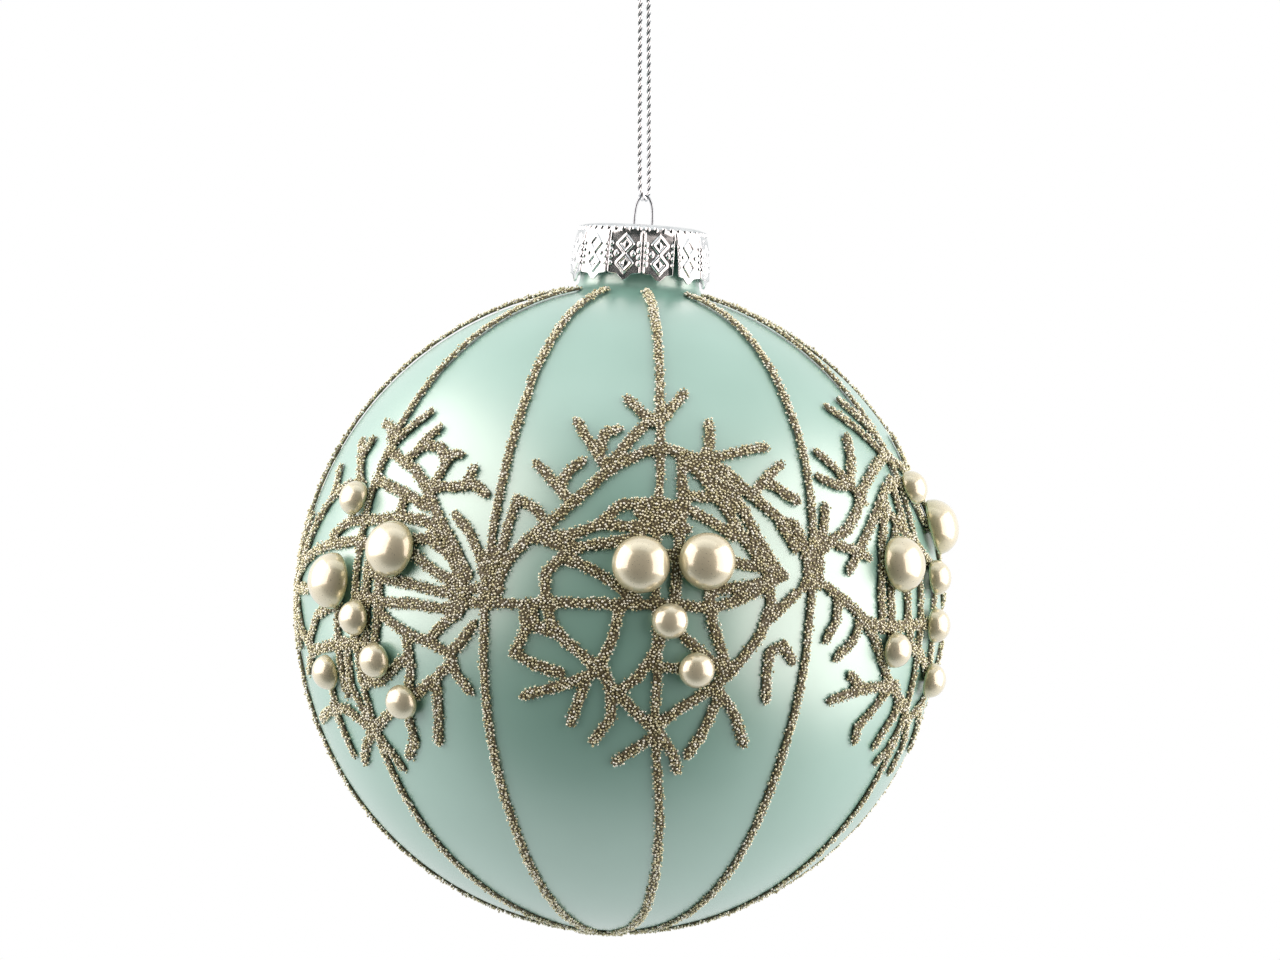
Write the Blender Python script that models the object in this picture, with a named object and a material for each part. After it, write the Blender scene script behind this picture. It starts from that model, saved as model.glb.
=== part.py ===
"""Glass ball ornament: hollow mint ball, piped bead trails, half pearls, crown cap, wire and cord.

Units are metres and +Z is up. The origin is the hang point, inside the top of the cord's eye.
The ball hangs upright below it; the two cord strands lean a little towards -X as they rise.
Longitude 0 faces -Y (the front) and grows towards +X; latitude 0 is the ball's widest circle.
"""
import math

import bmesh
import bpy
from mathutils import Matrix, Vector
from mathutils.geometry import delaunay_2d_cdt

MM = 0.001

# ---- driving dimensions, millimetres ---------------------------------------------------------
BALL_RADIUS = 50.0
GLASS_WALL = 1.0
NECK_RADIUS = 9.2
NECK_BORE = 8.2
NECK_TOP = 58.2            # above the ball's centre
GAP = 0.3                  # clearance kept between neighbouring pieces
TRAIL_BOTTOM = BALL_RADIUS + GAP
TRAIL_TOP = BALL_RADIUS + 0.95
TRAIL_WIDTH = 1.6
LINE_WIDTH = 1.3
TRAIL_STEP = 6.4           # longest straight run of a trail's edge on the round glass
PEARL_BASE = TRAIL_TOP + GAP
PEARL_LARGE = (4.0, 3.3)   # radius, height
PEARL_SMALL = (2.5, 2.1)
CAP_TOP = 59.3
CAP_WALL = 0.35
CAP_CREASE = 51.9          # skirt's lower edge at the creases
CAP_TIP = 50.5             # and at the panels' points
CAP_PANELS = 12
WIRE_RADIUS = 0.25
WIRE_APEX = 64.25
WIRE_HALF_SPAN = 1.4
WIRE_HOLE = 0.55
CORD_RADIUS = 0.45
CORD_LEAN = math.tan(math.radians(3.5))
HANG_HEIGHT = 107.0        # hang point above the ball's centre
EYE_BOTTOM = 95.0
BIGHT_RADIUS = 1.8
KNOT_CENTRE = 109.9

SWING_HEIGHT = WIRE_APEX - WIRE_RADIUS - CORD_RADIUS - GAP   # middle of the cord in the arch
BALL_X = (HANG_HEIGHT - SWING_HEIGHT) * CORD_LEAN

# ---- the piped pattern: runs of (longitude, latitude) in degrees ------------------------------
CENTRE_LINE = [(6, 77), (6.5, 62), (6.3, 46), (6, 34), (6, 22), (5.5, 11), (6, 2), (7, -8), (7.5, -19),
               (9.5, -30), (12, -40), (15, -53), (19, -66), (24, -77), (27, -84)]
CENTRE_FLAKE = [
    [(-21.3, 3.2), (-19.8, 7), (-17, 10.5), (-13, 14), (-9, 18), (-5, 22.4), (-1.5, 25.3), (3, 27.8),
     (7, 28.8), (13, 27.3), (19, 25), (23, 21), (28, 17.5), (31.5, 12)],
    [(-1, 38.5), (2.5, 35.5), (5.5, 33.5)],
    [(11.5, 40.5), (8.5, 37), (6, 34)],
    [(-3.2, 25.5), (0.5, 30.5), (4, 34.5)],
    [(-11, 33), (-8, 29.2), (-5, 25.2)],
    [(-2.5, 32), (-5.2, 31), (-5.5, 27)],
    [(-17.3, 24.3), (-13.7, 21.3), (-10, 17.8)],
    [(-8.7, 25.3), (-11, 23.2), (-12.3, 20.3)],
    [(16.3, 34.3), (16, 30), (14.3, 27)],
    [(27.8, 30.3), (22, 29), (16.5, 27.5)],
    [(30.5, 27), (26.8, 24.3), (23.5, 20.8)],
    [(32.8, 20.5), (27.5, 23.3)],
    [(-4, 14.5), (-1, 17.7), (5, 18.5), (11, 17.8), (15.5, 15.7), (19.5, 13.3)],
    [(10, 27), (10.2, 20), (9.8, 14), (9.3, 7), (9.4, 1.5)],
    [(2.5, 16.2), (9, 16.3)],
    [(12, 26), (17, 20), (21, 13.5), (24.5, 9.5), (29, 7.3)],
    [(14.5, 26.5), (20, 20.5), (24, 13.5), (27.5, 8.5)],
    [(11, 20), (17, 20), (22, 18)],
    [(-15.5, 10.8), (-9, 12), (-4, 14), (3, 14), (11, 14)],
    [(-13.5, 10.5), (-8.5, 9.7), (-3, 10.8), (3, 12)],
    [(-8.7, 10), (-8.5, 7.3)],
    [(-10.5, 8), (-6, 6.6), (-2, 4.5), (3, 1.5)],
    [(-10.5, 8), (-13, 5.2), (-12.8, 1), (-11.3, -3.8), (-8.5, -6.5), (-3, -10.5)],
    [(-16.5, -0.3), (-8, 0.4), (1, 0.6), (9, 1), (16, 0.8), (21, 2.8), (26.5, 5.5)],
    [(-16.3, -0.5), (-15.8, -4.5), (-17.8, -8.7), (-14, -10.6), (-9.7, -11.6)],
    [(-15, -0.8), (-14.2, -4), (-10.3, -5.2)],
    [(0, 0.5), (-0.8, -5), (-2.5, -9.5), (-0.8, -14), (-0.3, -19), (-3.3, -23.3)],
    [(-3, -11), (-9, -13.7), (-16, -16)],
    [(-5, -12), (-6, -16), (-7.6, -20.3)],
    [(-0.5, -13.5), (3, -17), (7.5, -20.5)],
    [(0.5, -14.5), (4, -11.5), (7, -6), (8.5, -2), (13.5, -6), (19, -10)],
    [(15, 4.5), (16, -1.5), (19.3, -9)],
    [(19, 8.8), (26, 8.3), (26.5, 2), (25, -3), (20.5, -9.5), (16.5, -13.3), (12, -16.5), (8, -20)],
    [(31.5, 4.3), (29, 2), (26, -1)],
    [(16, 4), (22, 5), (29, 7)],
    [(18.5, -13), (22, -17), (25, -22.3)],
    [(18.8, -13.5), (16.5, -21), (14.6, -25)],
    [(7.3, -22), (4, -24.8), (1.2, -27)],
    [(8.5, -21), (11.5, -24.7), (13, -28)],
    [(2.5, 10), (9, 9.5), (14.5, 9.5), (20, 9)],
    [(8, -9.6), (13.7, -9.6)],
]
CENTRE_LOOSE = [[(27.6, -14.2), (26.9, -9.5), (27, -6), (29.5, -4.6), (31.6, -7.2)]]
LEFT_LINE = [(-57, 77), (-55.5, 62), (-54.5, 46), (-54, 34), (-53.5, 22), (-53, 9), (-52.5, -4), (-52, -14),
             (-51, -23), (-50.5, -33), (-49.7, -44), (-48, -57), (-45.5, -68), (-43, -77), (-41, -84)]
LEFT_FLAKE = [
    [(-60, 31), (-56.5, 30), (-53.8, 27.5)],
    [(-46.7, 33.5), (-50, 30.3), (-53, 26.8)],
    [(-66, 27.3), (-62.5, 24), (-59.5, 20.5), (-55, 16.5)],
    [(-61.5, 27.5), (-62.3, 24.3)],
    [(-53.5, 25.8), (-48.5, 24), (-43.3, 22), (-38.5, 18.3), (-35, 14), (-30.2, 8.5), (-27, 4)],
    [(-46.7, 24), (-43.3, 26.8), (-39, 26.6), (-36.3, 23.6), (-38, 18.5)],
    [(-41.8, 30.3), (-44.3, 27.3)],
    [(-33.8, 25.3), (-37, 25.2)],
    [(-38, 19), (-32, 19.3), (-28.5, 19.8), (-26, 18.3)],
    [(-29.8, 22.8), (-30.8, 19.8)],
    [(-53, 19.8), (-48.5, 18.7), (-44, 17.7), (-38, 15.5)],
    [(-44.2, 17.5), (-43.6, 13.5)],
    [(-63, 9.5), (-58, 12.3), (-49, 12.7), (-43.5, 13.4), (-38, 13), (-33, 10.8)],
    [(-42, 9.5), (-36, 9.8), (-31.3, 7.4), (-28, 3)],
    [(-41, 7.5), (-38.5, 6.8), (-33.7, 4.2), (-28, 1.8)],
    [(-50, 4), (-44.5, 2.5), (-38.5, 1.8), (-32, 0.8), (-27.3, 0.5)],
    [(-51, -0.7), (-44, -1.5), (-38, -1.5), (-31.5, -2), (-27.3, -1.2)],
    [(-46.5, -3), (-40, -6.3), (-34.7, -7.8), (-30, -9.6)],
    [(-34.5, -7.5), (-31, -4.3), (-28, -2.3)],
    [(-30, -9.6), (-27.3, -6.8), (-25.3, -4.3)],
    [(-30, -9.6), (-29.3, -12.5), (-26.5, -15.8)],
    [(-30, -11.5), (-34, -14.4), (-39.5, -18), (-45, -20.6), (-51.5, -24.5)],
    [(-33.2, -14.2), (-33.5, -20), (-34.8, -25.5)],
    [(-41, -20), (-40.6, -25.5), (-43.3, -28.8)],
    [(-39.3, -7.5), (-38.6, -12), (-40, -17.5)],
    [(-46.6, 3.3), (-46, -3), (-47.3, -9), (-51.5, -15.5)],
    [(-49.8, 5), (-49.3, -5), (-50, -12)],
    [(-55.3, -9), (-55.6, -16.5), (-52.5, -22.5)],
    [(-51.5, -16), (-46, -15), (-40.5, -11.3)],
    [(-52, -24.5), (-56, -27.3), (-59.5, -30.7)],
    [(-51.3, -24.5), (-48.5, -28), (-46.5, -31.2)],
    [(-74.5, -23.2), (-64, -20.7), (-58.5, -21), (-52, -24.5)],
    [(-57.8, 2), (-58.4, -9), (-57.7, -18)],
    [(-62.8, -14), (-64, -21), (-63.2, -29.3)],
    [(-51.5, -8.7), (-57, -9), (-63, -9.8), (-70, -10.8)],
    [(-57.5, -2), (-66.5, -4.5), (-71, -9)],
    [(-46, 7.6), (-53, 8.8), (-62, 8), (-69, 7), (-77, 4.3), (-81, 2)],
    [(-55, 16.5), (-62, 19), (-68, 17), (-73, 12), (-77.5, 6)],
    [(-68, 17.5), (-71, 22)],
    [(-57, 1), (-66, 0.8), (-74, 0), (-81, 0)],
    [(-70, -10.8), (-76, -7.5), (-81, -2)],
    [(-70, -10.8), (-74.5, -14.5)],
]
RIGHT_LINE = [(64, 77), (65, 62), (65.7, 47), (66, 34), (66, 21), (66, 8), (66, -5), (66.3, -18), (67, -31),
              (68, -45), (70, -58), (73, -70), (77, -79), (79, -84)]
RIGHT_FLAKE = [
    [(50.7, 40), (56.5, 36.7), (61.5, 33), (66, 29.5)],
    [(58, 42), (62.5, 38), (66, 34)],
    [(42.4, 15.2), (44, 16), (47, 19), (50.4, 23.4), (55.5, 27), (60.3, 29.3), (66, 31.3), (73, 28),
     (79, 22.5), (85, 15.5), (90.5, 8)],
    [(40.6, 30), (44, 27.4), (47.5, 23.7), (50, 21.5)],
    [(52, 33.8), (50, 29.4), (47.3, 24.5)],
    [(39.2, 25.2), (43, 24), (47.3, 24)],
    [(43.4, 8.8), (45.5, 11.6), (49.5, 16), (54, 20.2), (58.5, 24), (66, 26.3)],
    [(41.3, 12.9), (45.3, 12.4), (48.5, 11.3)],
    [(52.3, -1), (51.6, 6), (53, 14), (57, 21.5)],
    [(55.3, -4), (54.6, 5), (56, 13), (60, 18.5)],
    [(38, 5.7), (42.3, 3.5), (46.5, 1), (50.6, -3), (53.7, -7), (57, -10.3), (63.3, -13.5), (69, -17)],
    [(40.5, 3.7), (40.3, 0), (38.4, -3.2)],
    [(46.5, 0.8), (44.6, -3.4), (41.2, -6.2)],
    [(47.3, 0.3), (54, -0.7), (61, 0), (70, 0.7), (80, 0.7), (90.5, 0.8)],
    [(41.6, -13.8), (47, -12), (53, -11), (59.5, -10.5)],
    [(45.3, -9.2), (48.7, -11.3)],
    [(57.3, -10.8), (54, -14.8), (50.5, -18.3), (51.3, -20.7)],
    [(61.3, -12.3), (62, -15.5), (59.8, -18.8), (58.7, -21.6)],
    [(62.2, -24.7), (64.8, -22.3), (66.3, -18)],
    [(60.4, 9), (60.5, 1), (63, -4), (68, -5.2), (74, -9)],
    [(57, 20), (61.5, 16.6), (66, 14.3), (73, 11), (82, 9), (90.5, 4.5)],
    [(62, 26), (62.3, 17)],
    [(66, 26.3), (70, 24.5), (73.5, 19), (79, 17.5)],
    [(69, -17), (74, -14), (81, -8), (86.5, -3.5), (91, -1)],
    [(73.5, -14), (78, -17.5), (80.5, -22)],
    [(69, -17), (72.5, -21.5), (72.5, -26.5)],
    [(74, 27.5), (78.5, 31), (80, 35)],
    [(79, 22.5), (84, 25), (88, 25.5)],
    [(74.8, 9.5), (73.2, 1), (74, -9)],
]
HUB_A_LINE = [(-27, 77), (-25.8, 62), (-24.4, 47), (-23.5, 36), (-23.3, 24), (-23.3, 12), (-23.5, 0),
              (-23.5, -12), (-23.2, -22), (-22.5, -32), (-21.7, -42), (-20.8, -55), (-19.5, -68), (-17, -78),
              (-13, -84)]
HUB_A = [
    [(-31.3, 14.2), (-28, 11.4), (-25.2, 7.5), (-24, 4)],
    [(-23, 2.5), (-21.2, 9), (-19.8, 17.7), (-16.4, 16.3), (-13.6, 13.6)],
    [(-26, 1.8), (-21, 1.9)],
    [(-26, -0.6), (-22, -0.5), (-18, -0.4)],
]
HUB_B_LINE = [(42, 77), (40.5, 62), (38.7, 50), (37.5, 40), (36.8, 29), (35.8, 19), (35, 9), (34.4, 0),
              (34.2, -11), (34, -22), (34.3, -32), (35.5, -43), (37.5, -54), (41, -65), (46, -75), (49, -84)]
HUB_B = [
    [(29.3, 16.8), (31.8, 16.2), (33.5, 12.5), (34, 7.5)],
    [(39.2, 19.8), (38, 15.7), (36.4, 11), (36.3, 6)],
    [(40.6, 14.5), (36.5, 11.5)],
    [(33, 5.5), (34.5, 8), (36.5, 9.5)],
]
SIDE_LINE = [(0, 77), (0, 62), (0.5, 47), (0.4, 32), (0, 18), (0, 6), (0, -6), (0.3, -18), (0.5, -31),
             (0.5, -45), (0.2, -58), (0, -70), (0, -84)]
SIDE_HUB = [
    [(-5, 14), (-2.3, 8), (0, 2)],
    [(5.2, 13), (2.5, 7), (0, 1)],
    [(-5, 0.6), (5, 0.6)],
    [(-4.3, -9), (-1.8, -4), (0, 0)],
    [(4.8, -10), (2, -4.5), (0, 0)],
]

CENTRE_PEARLS = [(3.1, 7.4, "large"), (14.3, 8.6, "large"), (8.5, -1.7, "small"), (13.7, -9.6, "small")]
LEFT_PEARLS = [(-43, 7.5, "large"), (-58.5, 1.6, "large"), (-56.2, 16, "small"), (-51, -4.4, "small"),
               (-46, -11.4, "small"), (-40.6, -18.3, "small"), (-61.5, -14.1, "small")]
RIGHT_PEARLS = [(56.5, 10.3, "large"), (78, 17.5, "large"), (68.5, 24.2, "small"), (71.5, 8.5, "small"),
                (70.5, 0.3, "small"), (72.5, -9.2, "small"), (55.3, -4.3, "small")]
BACK_LEFT_PEARLS = [(55, 9.5, "large"), (66, 18, "large"), (60, 27, "small"), (67, 7.5, "small"),
                    (69, -1, "small"), (70, -9.5, "small"), (55.5, -4.5, "small")]

# name, longitude shift, line, strokes; strokes stop short of every other line and of earlier strokes
TRAILS = [
    ("trail_flake_front", 0, CENTRE_LINE, CENTRE_FLAKE),
    ("trail_flake_left", 0, LEFT_LINE, LEFT_FLAKE),
    ("trail_flake_right", 0, RIGHT_LINE, RIGHT_FLAKE),
    ("trail_flake_back", 180, CENTRE_LINE, CENTRE_FLAKE),
    ("trail_flake_back_right", 180, LEFT_LINE, LEFT_FLAKE),
    ("trail_flake_back_left", 180, RIGHT_LINE, RIGHT_FLAKE),
    ("trail_hub_front_left", 0, HUB_A_LINE, HUB_A),
    ("trail_hub_front_right", 0, HUB_B_LINE, HUB_B),
    ("trail_hub_back_right", 180, HUB_A_LINE, HUB_A),
    ("trail_hub_back_left", 180, HUB_B_LINE, HUB_B),
    ("trail_hub_side_right", 96, SIDE_LINE, SIDE_HUB),
    ("trail_hub_side_left", -84, SIDE_LINE, SIDE_HUB),
]
PEARL_SETS = [
    ("front", 0, CENTRE_PEARLS),
    ("left", 0, LEFT_PEARLS),
    ("right", 0, RIGHT_PEARLS),
    ("back", 180, CENTRE_PEARLS),
    ("back_right", 180, LEFT_PEARLS),
    ("back_left", 180, BACK_LEFT_PEARLS),
]


# ---- helpers ----------------------------------------------------------------------------------
def at_ball(x, y, z):
    """World point of a place given in millimetres from the ball's centre."""
    return Vector(((BALL_X + x) * MM, y * MM, (z - HANG_HEIGHT) * MM))


def on_sphere(lon, lat, radius):
    """World point at a longitude and latitude of the ball and a distance from its centre."""
    a = math.radians(lon)
    b = math.radians(lat)
    ring = math.cos(b) * radius
    return at_ball(math.sin(a) * ring, -math.cos(a) * ring, math.sin(b) * radius)


def material(name, colour, roughness, metallic):
    """A plain surface of one colour."""
    made = bpy.data.materials.get(name)
    if made is None:
        made = bpy.data.materials.new(name)
        made.use_nodes = True
        shader = made.node_tree.nodes["Principled BSDF"]
        shader.inputs["Base Color"].default_value = (*colour, 1.0)
        shader.inputs["Roughness"].default_value = roughness
        shader.inputs["Metallic"].default_value = metallic
        made.diffuse_color = (*colour, 1.0)
    return made


MINT_GLASS = material("mint_glass", (0.42, 0.66, 0.58), 0.35, 0.0)
CHAMPAGNE_BEADS = material("champagne_beads", (0.42, 0.35, 0.25), 0.40, 0.7)
CREAM_PEARL = material("cream_pearl", (0.83, 0.80, 0.68), 0.20, 0.0)
SILVER_PLATE = material("silver_plate", (0.86, 0.87, 0.88), 0.20, 1.0)
STEEL_WIRE = material("steel_wire", (0.72, 0.73, 0.74), 0.25, 1.0)
SILVER_THREAD = material("silver_thread", (0.80, 0.81, 0.83), 0.40, 0.6)


def add_object(name, bm, surface, origin, smooth):
    """Put a bmesh given in world metres into the scene, its own origin at the given point."""
    bmesh.ops.recalc_face_normals(bm, faces=bm.faces)
    if bm.calc_volume(signed=True) < 0:
        bmesh.ops.reverse_faces(bm, faces=bm.faces)
    bmesh.ops.translate(bm, vec=-origin, verts=bm.verts)
    for face in bm.faces:
        face.smooth = smooth
    mesh = bpy.data.meshes.new(name)
    bm.to_mesh(mesh)
    bm.free()
    mesh.materials.append(surface)
    made = bpy.data.objects.new(name, mesh)
    made.location = origin
    bpy.context.scene.collection.objects.link(made)
    return made


def loft(bm, rings, closed_start, closed_end):
    """Join rings of points into a skin; every ring has the same count of points."""
    rows = [[bm.verts.new(point) for point in ring] for ring in rings]
    for low, high in zip(rows, rows[1:]):
        for i in range(len(low)):
            j = (i + 1) % len(low)
            bm.faces.new((low[i], low[j], high[j], high[i]))
    if closed_start:
        bm.faces.new(tuple(reversed(rows[0])))
    if closed_end:
        bm.faces.new(tuple(rows[-1]))
    return rows


def tube(points, radius, sides):
    """A round rod along a run of points, closed at both ends."""
    bm = bmesh.new()
    side = None
    rings = []
    for i, point in enumerate(points):
        ahead = points[min(i + 1, len(points) - 1)] - points[max(i - 1, 0)]
        ahead.normalize()
        if side is None:
            side = ahead.orthogonal().normalized()
        side = (side - ahead * side.dot(ahead)).normalized()
        up = ahead.cross(side)
        ring = []
        for k in range(sides):
            turn = 2.0 * math.pi * k / sides
            ring.append(point + (side * math.cos(turn) + up * math.sin(turn)) * radius)
        rings.append(ring)
    loft(bm, rings, True, True)
    return bm


def lathe_closed(profile, segments):
    """Spin a closed outline of (radius, height) round the ball's axis; radius 0 is a pole."""
    bm = bmesh.new()
    rows = []
    for radius, height in profile:
        if radius < 1e-6:
            rows.append([bm.verts.new(at_ball(0, 0, height))] * segments)
            continue
        row = []
        for k in range(segments):
            turn = 2.0 * math.pi * k / segments
            row.append(bm.verts.new(at_ball(math.cos(turn) * radius, math.sin(turn) * radius, height)))
        rows.append(row)
    for low, high in zip(rows, rows[1:]):
        for i in range(segments):
            j = (i + 1) % segments
            corners = []
            for corner in (low[i], low[j], high[j], high[i]):
                if corner not in corners:
                    corners.append(corner)
            if len(corners) > 2:
                bm.faces.new(corners)
    return bm


# ---- flat charts of the sphere and the union of strokes ---------------------------------------
def shortest_turn(degrees):
    """The same turn brought between -180 and 180 degrees."""
    return (degrees + 180.0) % 360.0 - 180.0


def to_flat(lon, lat, lon0):
    """Millimetre place of a longitude and latitude on a flat chart centred on lon0."""
    x = BALL_RADIUS * math.radians(shortest_turn(lon - lon0)) * math.cos(math.radians(lat))
    return Vector((x, BALL_RADIUS * math.radians(lat)))


def from_flat(place, lon0):
    """Longitude and latitude of a place on the flat chart."""
    lat = place.y / BALL_RADIUS
    lon = lon0 + math.degrees(place.x / (BALL_RADIUS * max(math.cos(lat), 1e-3)))
    return lon, math.degrees(lat)


def stroke_quads(run, width, grow):
    """Flat four-sided pieces that cover one piped stroke, its tips drawn in to round them."""
    half = 0.5 * width + grow
    ahead = (run[1] - run[0]).normalized()
    behind = (run[-1] - run[-2]).normalized()
    places = [run[0] - ahead * half] + list(run) + [run[-1] + behind * half]
    halves = [0.5 * half] + [half] * len(run) + [0.5 * half]
    lefts = []
    rights = []
    for i, place in enumerate(places):
        before = places[max(i - 1, 0)]
        after = places[min(i + 1, len(places) - 1)]
        d_in = (place - before).normalized() if i > 0 else (after - place).normalized()
        d_out = (after - place).normalized() if i < len(places) - 1 else d_in
        middle = (d_in + d_out).normalized()
        stretch = 1.0 / max(middle.dot(d_in), 0.75)
        across = Vector((-middle.y, middle.x)) * halves[i] * stretch
        lefts.append(place + across)
        rights.append(place - across)
    quads = []
    for i in range(len(places) - 1):
        quads.append([rights[i], rights[i + 1], lefts[i + 1], lefts[i]])
    return quads


def chart_strokes(strokes, shift, lon0):
    """Strokes with their widths brought onto the flat chart of lon0."""
    runs = []
    for stroke, width in strokes:
        if abs(shortest_turn(stroke[0][0] + shift - lon0)) < 100.0:
            runs.append(([to_flat(lon + shift, lat, lon0) for lon, lat in stroke], width))
    return runs


def kept_triangles(runs, cut_runs):
    """Triangles covered by the runs but not by the widened cutting runs."""
    places = []
    faces = []
    for run, width in runs:
        for quad in stroke_quads(run, width, 0.0):
            faces.append([len(places) + k for k in range(4)])
            places.extend(quad)
    own = len(faces)
    for run, width in cut_runs:
        for quad in stroke_quads(run, width, GAP):
            faces.append([len(places) + k for k in range(4)])
            places.extend(quad)
    points, _, triangles, _, _, sources = delaunay_2d_cdt(places, [], faces, 1, 1e-5, True)
    kept = []
    for triangle, source in zip(triangles, sources):
        if any(s < own for s in source) and not any(s >= own for s in source):
            kept.append(tuple(triangle))
    return points, kept


def largest_patch(triangles):
    """The biggest set of triangles joined edge to edge."""
    by_edge = {}
    for index, corners in enumerate(triangles):
        for a, b in zip(corners, corners[1:] + corners[:1]):
            by_edge.setdefault((min(a, b), max(a, b)), []).append(index)
    neighbours = {i: [] for i in range(len(triangles))}
    for pair in by_edge.values():
        if len(pair) == 2:
            neighbours[pair[0]].append(pair[1])
            neighbours[pair[1]].append(pair[0])
    seen = set()
    best = []
    for start in range(len(triangles)):
        if start in seen:
            continue
        patch = [start]
        seen.add(start)
        for index in patch:
            for other in neighbours[index]:
                if other not in seen:
                    seen.add(other)
                    patch.append(other)
        if len(patch) > len(best):
            best = patch
    return [triangles[i] for i in best]


def outline_loops(points, triangles):
    """Closed edge loops round a set of triangles, the filled side on the left."""
    edges = {}
    for corners in triangles:
        for a, b in zip(corners, corners[1:] + corners[:1]):
            edges[(a, b)] = True
    leaving = {}
    for a, b in edges:
        if (b, a) not in edges:
            leaving.setdefault(a, []).append(b)
    loops = []
    while leaving:
        start = next(iter(leaving))
        loop = [start]
        here = start
        came = None
        while True:
            options = leaving[here]
            pick = options[0]
            if came is not None and len(options) > 1:
                back = points[came] - points[here]
                pick = min(options, key=lambda o: back.angle_signed(points[o] - points[here]) % math.tau)
            options.remove(pick)
            if not options:
                del leaving[here]
            came, here = here, pick
            if here == start:
                break
            loop.append(here)
        loops.append([points[i].copy() for i in loop])
    return loops


def loop_area(loop):
    """Signed area of a closed loop."""
    total = 0.0
    for a, b in zip(loop, loop[1:] + loop[:1]):
        total += a.x * b.y - b.x * a.y
    return 0.5 * total


def tidy_loop(loop):
    """Drop points that hardly change the outline, then split runs too long for the round glass."""
    changed = True
    while changed and len(loop) > 4:
        changed = False
        for i in range(len(loop)):
            before = loop[i - 1]
            here = loop[i]
            after = loop[(i + 1) % len(loop)]
            span = after - before
            if span.length < 1e-6:
                off = 0.0
            else:
                off = abs(span.x * (here.y - before.y) - span.y * (here.x - before.x)) / span.length
            short = min((here - before).length, (after - here).length) < 0.35
            if off < 0.07 or (short and off < 0.18):
                del loop[i]
                changed = True
                break
    result = []
    for a, b in zip(loop, loop[1:] + loop[:1]):
        parts = max(1, math.ceil((b - a).length / TRAIL_STEP))
        for k in range(parts):
            result.append(a.lerp(b, k / parts))
    return result


def inside_loops(place, loops):
    """Whether a place lies inside an odd count of loops."""
    odd = False
    for loop in loops:
        for a, b in zip(loop, loop[1:] + loop[:1]):
            if (a.y > place.y) != (b.y > place.y):
                x = a.x + (place.y - a.y) / (b.y - a.y) * (b.x - a.x)
                if x > place.x:
                    odd = not odd
    return odd


def fill_loops(loops):
    """Triangles that fill the outlines, holes left open."""
    places = []
    edges = []
    for loop in loops:
        first = len(places)
        for k in range(len(loop)):
            edges.append((first + k, first + (k + 1) % len(loop)))
        places.extend(loop)
    points, _, triangles, _, _, _ = delaunay_2d_cdt(places, edges, [], 0, 1e-5, True)
    kept = []
    for corners in triangles:
        a, b, c = (points[i] for i in corners)
        if abs((b - a).cross(c - a)) > 1e-5 and inside_loops((a + b + c) / 3.0, loops):
            kept.append(tuple(corners))
    return [p.copy() for p in points], kept


def part_pinches(points, triangles):
    """Give every fan of triangles its own point where two fans meet at one point only."""
    fans_at = {}
    for index, corners in enumerate(triangles):
        for corner in corners:
            fans_at.setdefault(corner, []).append(index)
    triangles = [list(corners) for corners in triangles]
    for corner, around in sorted(fans_at.items()):
        left = set(around)
        fans = []
        while left:
            fan = [left.pop()]
            for index in fan:
                for other in sorted(left):
                    shared = set(triangles[index]) & set(triangles[other])
                    if len(shared - {corner}) > 0 and corner in shared:
                        left.discard(other)
                        fan.append(other)
            fans.append(fan)
        for fan in fans[1:]:
            centre = Vector((0.0, 0.0))
            for index in fan:
                for other in triangles[index]:
                    centre += points[other] / (3.0 * len(fan))
            points.append(points[corner].lerp(centre, 0.2))
            for index in fan:
                triangles[index] = [len(points) - 1 if c == corner else c for c in triangles[index]]
    return points, [tuple(corners) for corners in triangles]


def trail_body(name, runs, cut_runs, lon0):
    """One raised trail: the union of its strokes, lifted off the glass and squared off on top."""
    points, triangles = kept_triangles(runs, cut_runs)
    loops = outline_loops(points, largest_patch(triangles))
    loops = [tidy_loop(loop) for loop in loops if loop_area(loop) > 0.0 or loop_area(loop) < -0.8]
    points, triangles = fill_loops(loops)
    points, triangles = part_pinches(points, largest_patch(triangles))
    used = sorted({corner for corners in triangles for corner in corners})
    bm = bmesh.new()
    low = {}
    high = {}
    for index in used:
        lon, lat = from_flat(points[index], lon0)
        low[index] = bm.verts.new(on_sphere(lon, lat, TRAIL_BOTTOM))
        high[index] = bm.verts.new(on_sphere(lon, lat, TRAIL_TOP))
    directed = set()
    for a, b, c in triangles:
        bm.faces.new((high[a], high[b], high[c]))
        bm.faces.new((low[c], low[b], low[a]))
        directed.update(((a, b), (b, c), (c, a)))
    for a, b in sorted(directed):
        if (b, a) not in directed:
            bm.faces.new((high[a], low[a], low[b], high[b]))
    return add_object(name, bm, CHAMPAGNE_BEADS, at_ball(0, 0, 0), False)


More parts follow.
